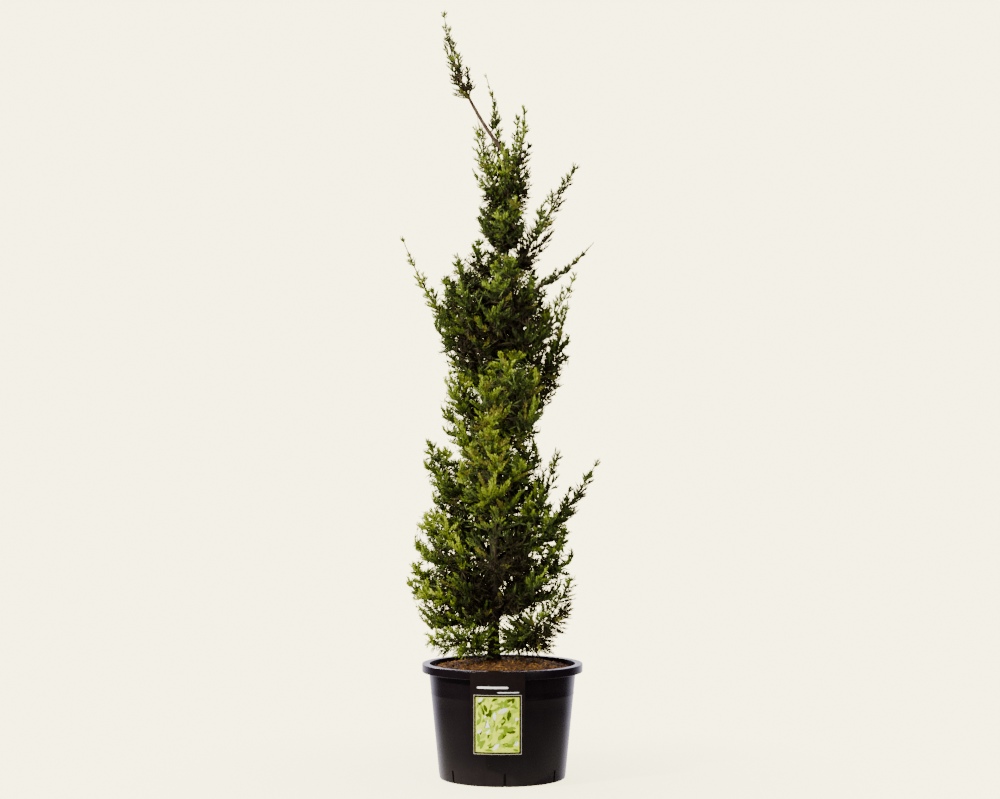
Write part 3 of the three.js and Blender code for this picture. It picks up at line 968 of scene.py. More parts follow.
    def build_cut(self) -> None:
        """Make the pale face where the old leader was cut off."""
        top = np.array(self.stub) + UP * self.cut_lift
        rim = np.column_stack([level_ring(self.cut_sides), np.zeros(self.cut_sides)])
        rows = [top + rim * self.stub_radius * s + UP * h for s, h in zip(self.cut_shares, self.cut_heights)]
        arrays = MeshArrays()
        arrays.add(np.concatenate(rows), grid_faces(len(rows), self.cut_sides, True))
        place_piece(arrays.build("trunk_cut", [self.wood.material()]), [])


@dataclass
class Limb:
    """One limb as it grows: its plan, its bare bough, its leafy stem and the space of its foliage."""

    plan: LimbPlan
    order: int
    side: Array
    stem: Bend
    stem_radius: float
    balls: Array
    bough: Bend | None = None
    bough_radius: float = 0.0


@dataclass
class Crown:
    """The limbs of the crown, grown by the rule of the solids, and its bare boughs, in millimetres."""

    trunk: Trunk
    seat_gap: float = 0.3
    limb_radius: float = 2.0
    limb_radius_per_mm: float = 0.008
    bough_taper: float = 0.72
    stem_tip_radius: float = 0.6
    spray_most: float = 112.0
    open_angle: Span = (78.0, 14.0)
    angle_shake: float = 10.0
    spray_lift: float = 0.4
    turn_round: float = 1.3
    first_spray: float = 0.06
    last_spray: float = 0.84
    reach_step: float = 3.0
    reach_most: float = 130.0
    space_balls: int = 7
    space_margin: float = 0.8
    lowest_leaf: float = 249.0
    spur_along: float = 0.44
    spur_reach: float = -14.0
    spur_climb: float = 126.0
    spur_turn_out: float = 26.0
    bough_rings: int = 40
    bough_sides: int = 14
    ripple_depth: float = 0.16
    ripple_round: float = 3.0
    ripple_out: float = 0.2
    ripple_climb: float = 0.05
    bark: BarkFinish = BarkFinish(
        "bark_of_boughs", (0.016, 0.01, 0.006), (0.066, 0.04, 0.025), (0.125, 0.085, 0.056)
    )
    limbs: list[Limb] = field(init=False)

    def __post_init__(self) -> None:
        """Plan every limb, and the spur that stands on the leader."""
        self.limbs = [self.plan_limb(plan, order) for order, plan in enumerate(PLANS)]
        self.limbs.append(self.plan_spur(self.limbs[0], len(self.limbs)))

    def plan_limb(self, plan: LimbPlan, order: int) -> Limb:
        """Work out one limb's curves and space.

        Args:
            plan: Its plan.
            order: Its place in the row of limbs.

        Returns:
            The limb.
        """
        middle = self.trunk.middle(plan.height)
        out = heading(plan.toward)
        trunk_side = self.trunk.radius(plan.height, math.radians(plan.toward))
        root = middle + out * (trunk_side + self.seat_gap)
        tip = middle + out * plan.reach + UP * (plan.tip - plan.height)
        turn = root + out * plan.bend_out * plan.reach + UP * plan.bend * (plan.tip - plan.height)
        whole = Bend(root, turn, tip)
        radius = self.limb_radius + self.limb_radius_per_mm * float(np.linalg.norm(tip - root))
        side = heading(plan.toward + 90)
        if not plan.bare:
            return Limb(plan, order, side, whole, radius, self.balls_along(plan, whole))
        bough, stem = whole.split(plan.bare, self.seat_gap)
        balls = self.balls_along(plan, stem)
        return Limb(plan, order, side, stem, radius * self.bough_taper, balls, bough, radius)

    def plan_spur(self, host: Limb, order: int) -> Limb:
        """Work out the thin upright shoot on the leader's bare stretch.

        Args:
            host: The leader.
            order: The spur's place in the row of limbs.

        Returns:
            The spur.
        """
        along = host.bough.onward(self.spur_along)
        out = unit(UP - along * along[2])
        thick = mix(host.bough_radius, host.stem_radius, self.spur_along)
        root = host.bough.at(self.spur_along) + out * (thick + self.seat_gap)
        tip = root + out * self.spur_reach + UP * self.spur_climb
        stem = Bend(root, root + out * self.spur_turn_out, tip)
        return Limb(SPUR, order, host.side, stem, self.limb_radius, self.balls_along(SPUR, stem))

    def balls_along(self, plan: LimbPlan, stem: Bend) -> Array:
        """Give the balls that a mass fills, as rows of centre and radius."""
        t = np.linspace(0, 1, self.space_balls)
        return np.column_stack([stem.at(t), plan.belly * plan.habit.width(t)])

    @staticmethod
    def power(points: Array, balls: Array) -> Array:
        """Tell how far outside each ball each point is, as a power."""
        return ((points[:, None] - balls[None, :, :3]) ** 2).sum(-1) - balls[None, :, 3] ** 2

    def keeps_to_side(self, points: Array, limb: Limb, margin: float) -> Pair:
        """Test points against every other mass.

        Args:
            points: Points to test.
            limb: The limb that they belong to.
            margin: How far they stay from the middle between two masses.

        Returns:
            Which keep to their own side and above the pot, and which of those are in their space.
        """
        own = self.power(points, limb.balls)
        nearest = limb.balls[own.argmin(1)]
        depth = own.min(1)
        others = np.concatenate([other.balls for other in self.limbs if other is not limb])
        apart = np.linalg.norm(nearest[:, None, :3] - others[None, :, :3], axis=-1)
        clear = (self.power(points, others) - depth[:, None] > 2 * apart * margin).all(1)
        clear &= points[:, 2] >= self.lowest_leaf
        return clear, clear & (depth < 0)

    def room(self, starts: Array, ways: Array, limb: Limb) -> Array:
        """Measure how far sprays may grow before they leave their space.

        Args:
            starts: Where the sprays start.
            ways: Their unit directions.
            limb: The limb that carries them.

        Returns:
            A length for each spray.
        """
        steps = np.arange(self.reach_step, self.reach_most + self.reach_step, self.reach_step)
        points = (starts[:, None] + ways[:, None] * steps[None, :, None]).reshape(-1, 3)
        inside = self.keeps_to_side(points, limb, self.space_margin)[1].reshape(len(starts), -1)
        inside[:, 0] = True
        return steps[np.cumprod(inside, axis=1).sum(1) - 1]

    def sprays_of(self, limb: Limb) -> tuple[Array, Array, Array]:
        """Grow sprays that turn round a stem by the golden angle, each to the roomier of two opposite sides.

        Args:
            limb: The limb that carries them.

        Returns:
            Where the sprays start, their ways and their lengths.
        """
        count = limb.plan.sprays
        draw = SeededDraws(limb.order + 1)
        draws = np.array([[draw(), draw(), draw()] for _ in range(count)])
        t = np.linspace(self.first_spray, self.last_spray, count)
        turn = np.arange(count) * GOLDEN_TURN + draws[:, 0]
        shake = self.angle_shake * (2 * draws[:, 1] - 1)
        opened = np.radians(mix(*self.open_angle, t) + shake)
        starts = limb.stem.at(t)
        onward = limb.stem.onward(t)
        over = np.cross(limb.side, onward)
        found = []
        for angle in (turn, turn + math.pi):
            ways = unit(swing(onward, swing(over, limb.side, angle), opened) + UP * self.spray_lift)
            found.append((ways, self.room(starts, ways, limb)))
        (first, first_room), (second, second_room) = found
        other = second_room > first_room * self.turn_round
        ways = np.where(other[:, None], second, first)
        lengths = np.where(other, second_room, first_room)
        return starts, ways, np.minimum(lengths, self.spray_most)

    def ripple(self, centre: Array, angle: float, order: int) -> float:
        """Work out how far a bough's bark stands in or out.

        Args:
            centre: The middle of the bough.
            angle: Angle round it.
            order: The limb's place in the row of limbs.

        Returns:
            A number from -1 to 1.
        """
        across = self.ripple_round * math.cos(angle) + order
        over = self.ripple_round * math.sin(angle) + centre[2] * self.ripple_climb
        return noise.noise(Vector((centre[0] * self.ripple_out, across, over)))

    def build_boughs(self) -> None:
        """Make the bare boughs with their bark."""
        arrays = MeshArrays()
        bare = [limb for limb in self.limbs if limb.bough]
        t = np.linspace(0, 1, self.bough_rings)
        for limb in bare:
            centres = limb.bough.at(t)
            side = np.tile(limb.side, (len(t), 1))
            over = np.cross(side, limb.bough.onward(t))
            angles = round_angles(self.bough_sides)
            ripple = np.array([[self.ripple(c, a, limb.order) for a in angles] for c in centres])
            radii = mix(limb.bough_radius, limb.stem_radius, t)[:, None] * (1 + self.ripple_depth * ripple)
            arrays.add(*tube(centres, over, side, radii))
        obj = arrays.build("bough_bark", [self.bark.material()])
        place_piece(obj, [f"bough_{limb.plan.name}" for limb in bare])


@dataclass(frozen=True)
class Growth:
    """How one habit's side sprays, fingers and shoots grow, in millimetres.

    Side sprays stand a spacing apart at the outside and an inner spacing deep inside, and fingers and shoots
    stand a step apart along what carries them. Widths are half widths.
    """

    spacing: float
    inner_spacing: float
    most: int
    spread: float
    fullness: float
    along: float
    finger_step: float
    finger_length: Span
    finger_width: float
    shoot_step: float
    shoot_length: Span
    shoot_width: float
    opening: float


# Values in the order of the fields.
GROWTH = {
    Habit.TUFT: Growth(15.7, 22.0, 900, 1.0, 2.2, 0.0, 3.7, (11.0, 19.0), 1.7, 1.9, (7.2, 5.0), 1.2, 1.0),
    Habit.THICKET: Growth(24.0, 26.0, 900, 0.9, 2.6, 0.2, 5.0, (9.0, 16.0), 1.1, 2.2, (5.4, 4.0), 0.9, 0.9),
    Habit.SPIKE: Growth(11.3, 15.0, 900, 0.94, 2.0, 0.3, 4.0, (9.0, 15.5), 1.2, 1.9, (5.2, 3.8), 0.9, 0.8),
    Habit.WISP: Growth(6.2, 7.6, 400, 0.84, 1.2, 1.1, 3.0, (6.5, 12.0), 1.0, 1.9, (4.4, 3.4), 0.85, 0.55),
}


@dataclass
class Sprays:
    """Sprays as arrays with one row for each: where they start, their way, length and lightness."""

    roots: Array
    ways: Array
    lengths: Array
    light: Array

    BOW = 0.2
    FORKS = (0.06, 0.92, 12)

    def points(self, rows: Array, share: Array) -> Array:
        """Give points along some of the sprays, which hang a little and turn up at their tips."""
        bow = UP * (self.BOW * (share**2 - share) * self.lengths[rows])[:, None]
        return self.roots[rows] + self.ways[rows] * (self.lengths[rows] * share)[:, None] + bow

    def forks(self) -> Pair:
        """Find where further growth may leave the sprays.

        Returns:
            The spray number of each place, and the places.
        """
        shares = np.linspace(*self.FORKS)
        owner = np.repeat(np.arange(len(self.roots)), len(shares))
        return owner, self.points(owner, np.tile(shares, len(self.roots)))


@dataclass
class Foliage:
    """Fingers and shoots of scale leaves on the crown's sprays, and their twigs, in millimetres and degrees.

    Painted light and shade are counted in steps along the row of tints.
    """

    crown: Crown
    seed: int = 20
    candidates: int = 1500
    outward: float = 2.3
    deep: float = 42.0
    trunk_room: float = 3.0
    reach_over: float = 12.0
    goal_over: float = 5.0

    stem_rings: int = 14
    stem_sides: int = 7
    twig_end: float = 0.94
    twig_radius: float = 0.6
    twig_radius_per_mm: float = 0.014

    main_bare: float = 0.4
    main_shake: float = 0.5
    side_bare: float = 0.12
    side_shake: float = 0.3
    side_shortest: float = 8.0
    side_acute: float = 0.45
    blunt_cost: float = 60.0
    side_climb: float = 0.2
    sink_cost: float = 40.0

    wisp_lift: float = 0.3
    wisp_most: float = 60.0
    wisp_acute: float = 0.5
    wisp_climb: float = 0.1
    wisp_bare: float = 0.08
    wisp_tip: float = 0.7
    wisp_taper: float = 3.0
    wisp_samples: int = 30

    finger_place: Span = (0.2, 0.8)
    finger_last: float = 0.95
    finger_shrink: float = 0.8
    finger_setback: float = 0.8
    finger_open: Span = (44.0, 14.0)
    finger_end_open: float = 0.06
    finger_lift: float = 0.7
    finger_shake: float = 0.3
    rank_shake: float = 0.5
    angle_shake: float = 8.0
    size_shake: Span = (0.8, 1.2)
    shoot_open: Span = (36.0, 12.0)
    shoot_lift: float = 0.12
    shoot_start: float = 0.9
    shoot_last: float = 0.9
    shoots_least: int = 3
    fresh_from: float = 0.55

    inner_from: float = 0.08
    inner_candidates: int = 3200
    inner_past: Span = (2.0, 8.0)
    inner_length: Span = (9.0, 26.0)
    inner_width: Span = (1.1, 2.0)
    inner_lift: float = 0.2
    inner_sway: float = 0.2
    inner_light: float = 2.0
    inner_shade: float = 2.4
    inner_tone: float = 0.4
    inner_shake: float = 0.4
    inner_lightest: int = 2

    # Painted light and shade: tints step lighter toward the sun, on the sunny side and on each mass's top,
    # and darker deep in the crown and in the hollow before the trunk's foot.
    sunny_side: Point = (-0.62, -0.42, 0.66)
    sunny_reach: float = 120.0
    facing: float = 1.4
    depth_shade: float = 2.2
    top_light: float = 2.0
    rise_over: float = 60.0
    rise_most: float = 0.7
    patch_size: float = 48.0
    patch_light: float = 2.6
    hollow_place: Point = (-32.0, -85.0, 382.0)
    hollow_size: Point = (72.0, 95.0, 108.0)
    hollow_edge: float = 1.4
    hollow_shade: float = 2.4

    # Tints run dark to light; stepping along them paints light and shade, so the darkest also stand for deep
    # shade besides withered growth.
    TINTS = (
        LeafFinish("leaf_withered_and_shaded", (0.024, 0.019, 0.009), 0.8),
        LeafFinish("leaf_deep", (0.033, 0.045, 0.011)),
        LeafFinish("leaf_dark", (0.056, 0.08, 0.016)),
        LeafFinish("leaf_green", (0.084, 0.122, 0.016)),
        LeafFinish("leaf_fresh", (0.131, 0.184, 0.017)),
        LeafFinish("leaf_light", (0.2, 0.262, 0.019)),
        LeafFinish("leaf_lime", (0.292, 0.347, 0.026)),
        LeafFinish("leaf_straw", (0.165, 0.155, 0.021), 0.7),
    )
    WOOD = (
        LeafFinish("twig_brown", (0.05, 0.03, 0.017), 0.85),
        LeafFinish("twig_olive", (0.05, 0.05, 0.02), 0.7),
    )
    DEEP = 1
    STRAW = len(TINTS) - 1
    LIME = len(TINTS) - 2
    MIDDLE_TINT = 2.45
    STRAW_LIGHT = -9.0

    def grow(self) -> None:
        """Grow and build every mass's foliage and all the twigs."""
        materials = [tint.material() for tint in self.TINTS]
        leaves = {quarter: MeshArrays() for quarter in Quarter}
        nodes: dict[Quarter, list[str]] = {quarter: [] for quarter in Quarter}
        twigs = MeshArrays()
        for limb in self.crown.limbs:
            rng = np.random.default_rng(self.seed + limb.order)
            self.grow_limb(limb, leaves[limb.plan.quarter], twigs, rng)
            nodes[limb.plan.quarter].append(f"foliage_{limb.plan.name}")
        for quarter, arrays in leaves.items():
            place_piece(arrays.build(quarter.value, materials), nodes[quarter])
        place_piece(twigs.build("twigs", [finish.material() for finish in self.WOOD]), [])

    def grow_limb(self, limb: Limb, leaves: MeshArrays, twigs: MeshArrays, rng: Random) -> None:
        """Grow one mass.

        Args:
            limb: The limb that carries it.
            leaves: Where its leaves are gathered.
            twigs: Where its stem and the axes of its sprays are gathered.
            rng: Its own source of random numbers.
        """
        self.add_stem(limb, twigs)
        main = self.main_sprays(limb, rng)
        side = self.side_sprays(limb, main, rng)
        main_bare = self.wisp_bare if limb.plan.habit is Habit.WISP else self.main_bare
        for sprays, bare in ((main, main_bare), (side, self.side_bare)):
            rows = np.arange(len(sprays.roots))
            tips = sprays.points(rows, np.full(len(rows), self.twig_end))
            radii = self.twig_radius + self.twig_radius_per_mm * sprays.lengths
            twigs.add(*cones(sprays.roots, tips, radii, rng), 1)
            self.add_fingers(limb, sprays, bare, leaves, rng)
        if limb.plan.habit is Habit.TUFT:
            forks = np.concatenate([main.forks()[1], side.forks()[1]])
            self.add_inner_growth(limb, forks, leaves, rng)

    def add_inner_growth(self, limb: Limb, forks: Array, leaves: MeshArrays, rng: Random) -> None:
        """Fill the inside of a mass with short old growth that has lost its shoots, tinted darker the deeper
        it sits as painted shade.

        Args:
            limb: The limb that carries the mass.
            forks: Places on its sprays that the growth may leave from.
            leaves: Where the growth is gathered.
            rng: Source of random numbers.
        """
        points = self.candidate_points(limb, 1.0, self.inner_candidates, rng)
        points = points[self.shade(points) > self.inner_from]
        if not len(points):
            return
        roots = forks[np.linalg.norm(points[:, None] - forks[None], axis=-1).argmin(1)]
        away = points - roots
        ways = unit(unit(away) + UP * self.inner_lift + rng.normal(0, self.inner_sway, points.shape))
        length = np.linalg.norm(away, axis=1) + rng.uniform(*self.inner_past, len(points))
        length = np.clip(length, *self.inner_length)
        kept = self.fits(roots + ways * length[:, None], limb)
        widths = rng.uniform(*self.inner_width, kept.sum())
        made, faces = blades(roots[kept], ways[kept], length[kept], widths, rng)
        # The old growth's tints are painted shade that darkens inward, plus the painted light of the mass's
        # tone and top.
        light = self.inner_light - self.inner_shade * self.shade(points[kept])
        light = light + self.inner_tone * limb.plan.tone.value + rng.normal(0, self.inner_shake, kept.sum())
        light = light + self.shine(points[kept], limb)
        tint = np.clip(np.round(light), 0, self.inner_lightest).astype(int)
        leaves.add(made, faces, np.repeat(tint, 2))

    def add_stem(self, limb: Limb, twigs: MeshArrays) -> None:
        """Add the stem that runs through a mass.

        Args:
            limb: The limb that it ends.
            twigs: Where it is gathered.
        """
        t = np.linspace(0, 1, self.stem_rings)
        side = np.tile(limb.side, (len(t), 1))
        radii = mix(limb.stem_radius, self.crown.stem_tip_radius, t)[:, None] * np.ones(self.stem_sides)
        twigs.add(*tube(limb.stem.at(t), np.cross(side, limb.stem.onward(t)), side, radii), 0)

    def main_sprays(self, limb: Limb, rng: Random) -> Sprays:
        """Grow the sprays of the solid, and one that ends the stem.

        Args:
            limb: The limb that carries them.
            rng: Source of random numbers.

        Returns:
            The sprays.
        """
        growth = GROWTH[limb.plan.habit]
        roots, ways, lengths = self.crown.sprays_of(limb)
        onward = limb.stem.onward(np.linspace(self.crown.first_spray, self.crown.last_spray, len(roots)))
        if growth.along:
            ways = unit(ways + growth.along * onward + UP * self.wisp_lift)
            lengths = np.minimum(self.crown.room(roots, ways, limb), self.wisp_most)
        last = limb.stem.at(self.crown.last_spray)
        end = limb.stem.at(1.0) - last
        roots = np.concatenate([roots, last[None]])
        ways = np.concatenate([ways, unit(end)[None]])
        lengths = np.append(lengths, np.linalg.norm(end))
        light = self.MIDDLE_TINT + limb.plan.tone.value + rng.normal(0, self.main_shake, len(roots))
        return Sprays(roots, ways, lengths * growth.spread, light)

    def side_sprays(self, limb: Limb, main: Sprays, rng: Random) -> Sprays:
        """Grow side sprays off the main ones, toward points spread evenly through the mass's space.

        Args:
            limb: The limb that carries them.
            main: The main sprays.
            rng: Source of random numbers.

        Returns:
            The side sprays.
        """
        goals = self.goals(limb, rng)
        owner, forks = main.forks()
        away = goals[:, None] - forks[None]
        far = np.linalg.norm(away, axis=-1)
        acute = np.einsum("gfk,fk->gf", away, main.ways[owner]) / np.maximum(far, SHORTEST)
        climb = away[..., 2] / np.maximum(far, SHORTEST)
        cost = far + np.where(acute > self.side_acute, 0.0, self.blunt_cost)
        cost = cost + np.where(climb > self.side_climb, 0.0, self.sink_cost * limb.plan.lift)
        best = np.argmin(cost, axis=1)
        rows = np.arange(len(goals))
        if limb.plan.habit is Habit.WISP:
            rows = rows[(acute[rows, best] > self.wisp_acute) & (climb[rows, best] > self.wisp_climb)]
            best = best[rows]
        lengths = np.clip(far[rows, best], self.side_shortest, None)
        straw = rng.random(len(rows)) < limb.plan.straw
        patch = np.array([noise.noise(Vector(goal / self.patch_size)) for goal in goals[rows]])
        light = main.light[owner[best]] + self.patch_light * patch + rng.normal(0, self.side_shake, len(rows))
        light = np.where(straw, self.STRAW_LIGHT, light)
        return Sprays(forks[best], unit(away[rows, best]), lengths, light)

    def goals(self, limb: Limb, rng: Random) -> Array:
        """Spread points through a mass's space, closer together near the outside of the crown.

        Args:
            limb: The limb that carries the mass.
            rng: Source of random numbers.

        Returns:
            The points.
        """
        growth = GROWTH[limb.plan.habit]
        points = self.candidate_points(limb, self.outward, self.candidates, rng)
        room = mix(growth.spacing, growth.inner_spacing, self.shade(points))
        return self.thin_out(points, room)[: growth.most]

    def candidate_points(self, limb: Limb, outward: float, count: int, rng: Random) -> Array:
        """Draw points in a mass's space.

        Args:
            limb: The limb that carries the mass.
            outward: The greater it is, the more points are near the outside.
            count: How many are drawn, before those that don't fit are left out.
            rng: Source of random numbers.

        Returns:
            The points.
        """
        growth = GROWTH[limb.plan.habit]
        bulk = limb.balls[:, 3] ** growth.fullness
        balls = limb.balls[rng.choice(len(bulk), count, p=bulk / bulk.sum())]
        radii = growth.spread * balls[:, 3] * rng.random(count) ** (1 / outward)
        points = balls[:, :3] + unit(rng.normal(size=(count, 3))) * radii[:, None]
        return points[self.fits(points, limb, True)]

    @staticmethod
    def thin_out(points: Array, room: Array) -> Array:
        """Keep the points that have room to themselves among those kept before.

        Args:
            points: The points.
            room: How far each keeps from the others.

        Returns:
            The points that are kept.
        """
        kept: list[int] = []
        for n, point in enumerate(points):
            if not kept or np.linalg.norm(points[kept] - point, axis=1).min() > room[n]:
                kept.append(n)
        return points[kept]

    def shade(self, points: Array) -> Array:
        """Tell how deep points are inside the crown.

        Args:
            points: The points.

        Returns:
            A number for each, from 0 at the crown's outside to 1.
        """
        balls = np.concatenate([limb.balls for limb in self.crown.limbs])
        out = np.linalg.norm(points[:, None] - balls[None, :, :3], axis=-1) - balls[None, :, 3]
        return np.clip(-out.min(1) / self.deep, 0, 1)

    def sunlit(self, points: Array) -> Array:
        """Tell how far points are to the sunny side of the trunk, from -1 to 1, for the painted light on that
        side.
        """
        sunny = unit(np.array([*self.sunny_side[:2], 0.0]))
        return np.clip((points - self.crown.trunk.nearest(points)) @ sunny / self.sunny_reach, -1, 1)

    def shine(self, points: Array, limb: Limb) -> Array:
        """Work out the painted light on a mass's top, less the painted shade of the hollow before the trunk's
        foot.

        Args:
            points: Points of the mass.
            limb: The limb that carries it.

        Returns:
            The change of painted light at each point.
        """
        low, high = limb.stem.start[2], limb.stem.tip[2]
        rise = (points[:, 2] - (low + high) / 2) / max(high - low, self.rise_over)
        rise = np.clip(rise, -self.rise_most, self.rise_most)
        away = (points - np.array(self.hollow_place)) / np.array(self.hollow_size)
        hollow = np.clip(self.hollow_edge - self.hollow_edge * (away**2).sum(1), 0, 1)
        return self.top_light * rise - self.hollow_shade * hollow

    def fits(self, points: Array, limb: Limb, within: bool = False) -> Array:
        """Tell which points a mass may reach.

        Args:
            points: The points.
            limb: The limb that carries the mass.
            within: True where they stay in its space, False where they only keep to its side.

        Returns:
            True for each point that is there and clear of the trunk.
        """
        margin = -self.goal_over if within else -self.reach_over
        side = self.crown.keeps_to_side(points, limb, margin)[1 if within else 0]
        middle = self.crown.trunk.nearest(points)
        gap = np.linalg.norm(points - middle, axis=1) - self.crown.trunk.radius(middle[:, 2], 0.0)
        return side & (gap > self.trunk_room)

    def add_fingers(self, limb: Limb, sprays: Sprays, bare: float, leaves: MeshArrays, rng: Random) -> None:
        """Set the outer part of each spray with fingers.

        Args:
            limb: The limb that carries the sprays.
            sprays: The sprays.
            bare: Share of each spray that has no fingers.
            leaves: Where they are gathered.
            rng: Source of random numbers.
        """
        growth = GROWTH[limb.plan.habit]
        counts = np.round((1 - bare) * sprays.lengths / growth.finger_step).astype(int) + 2
        spray = np.repeat(np.arange(len(counts)), counts)
        place = np.concatenate([np.arange(n) for n in counts])
        last = place == counts[spray] - 1
        stepped = (place + rng.uniform(*self.finger_place, len(place))) / counts[spray]
        share = mix(bare, self.finger_last, stepped)
        size = rng.uniform(*growth.finger_length, len(share)) * mix(1.0, self.finger_shrink, share)
        slim = self.slimness(limb, sprays.points(spray, share))
        size = size * slim
        way = sprays.ways[spray]
        first, second = square_pair(sprays.ways, rng)
        turn = math.pi * place + rng.normal(0, self.rank_shake, len(place))
        opened = growth.opening * mix(*self.finger_open, share) + rng.normal(0, self.angle_shake, len(share))
        opened = np.where(last, self.finger_end_open, np.radians(opened))
        out = swing(first[spray], second[spray], turn)
        finger = unit(swing(way, out, opened) + UP * (self.finger_lift * limb.plan.lift))
        base = sprays.points(spray, share) - way * (size * self.finger_setback * share)[:, None]
        tips = base + finger * size[:, None]
        kept = self.fits(tips, limb)
        # Painted light and shade: the tint steps lighter where a finger faces the sun, stands on the sunny
        # side or on a mass's top, and darker deep in the crown and in the hollow.
        light = sprays.light[spray] + self.facing * (finger @ unit(np.array(self.sunny_side)))
        light = light + self.sunlit(tips) - self.depth_shade * self.shade(tips)
        light = light + rng.normal(0, self.finger_shake, len(share)) + self.shine(tips, limb)
        tint = np.clip(np.round(light), 0, self.LIME).astype(int)
        tint = np.where(sprays.light[spray] == self.STRAW_LIGHT, self.STRAW, tint)
        fingers = Sprays(base[kept], finger[kept], size[kept], tint[kept])
        self.add_shoots(fingers, slim[kept], growth, leaves, rng)

    def slimness(self, limb: Limb, points: Array) -> Array:
        """Work out how slim fingers are, which shrink to the tip of a wisp.

        Args:
            limb: The limb that carries them.
            points: Where they stand.

        Returns:
            The share of its full size that each has.
        """
        if limb.plan.habit is not Habit.WISP:
            return np.ones(len(points))
        t = np.linspace(0, 1, self.wisp_samples)
        along = t[np.linalg.norm(points[:, None] - limb.stem.at(t)[None], axis=-1).argmin(1)]
        return mix(1.0, self.wisp_tip, along**self.wisp_taper)

    def add_shoots(
        self, fingers: Sprays, slim: Array, growth: Growth, leaves: MeshArrays, rng: Random
    ) -> None:
        """Make fingers, each a flat blade set all round with short shoots that are lighter at its tip.

        Args:
            fingers: The fingers, with their tints as their light.
            slim: The share of its full size that each has.
            growth: How they grow.
            leaves: Where they are gathered.
            rng: Source of random numbers.
        """
        base, ways, sizes, tint = fingers.roots, fingers.ways, fingers.lengths, fingers.light
        widths = slim * growth.finger_width * rng.uniform(*self.size_shake, len(sizes))
        points, faces = blades(base, ways, sizes, widths, rng)
        leaves.add(points, faces, np.repeat(tint, 2))
        counts = np.maximum(np.round(sizes / growth.shoot_step), self.shoots_least).astype(int)
        finger = np.repeat(np.arange(len(base)), counts)
        place = np.concatenate([np.arange(n) for n in counts])
        share = (place + self.shoot_start) / counts[finger]
        first, second = square_pair(ways, rng)
        out = swing(first[finger], second[finger], place * GOLDEN_TURN)
        opened = np.radians(mix(*self.shoot_open, share) + rng.normal(0, self.angle_shake, len(share)))
        shoot = unit(swing(ways[finger], out, opened) + UP * self.shoot_lift)
        length = slim[finger] * mix(*growth.shoot_length, share) * rng.uniform(*self.size_shake, len(share))
        roots = base[finger] + ways[finger] * (sizes[finger] * (share * self.shoot_last))[:, None]
        points, faces = blades(roots, shoot, length, slim[finger] * growth.shoot_width, rng)
        fresh = (share > self.fresh_from) & (tint[finger] < self.LIME) & (tint[finger] > self.DEEP)
        leaves.add(points, faces, np.repeat(tint[finger] + fresh, 2))


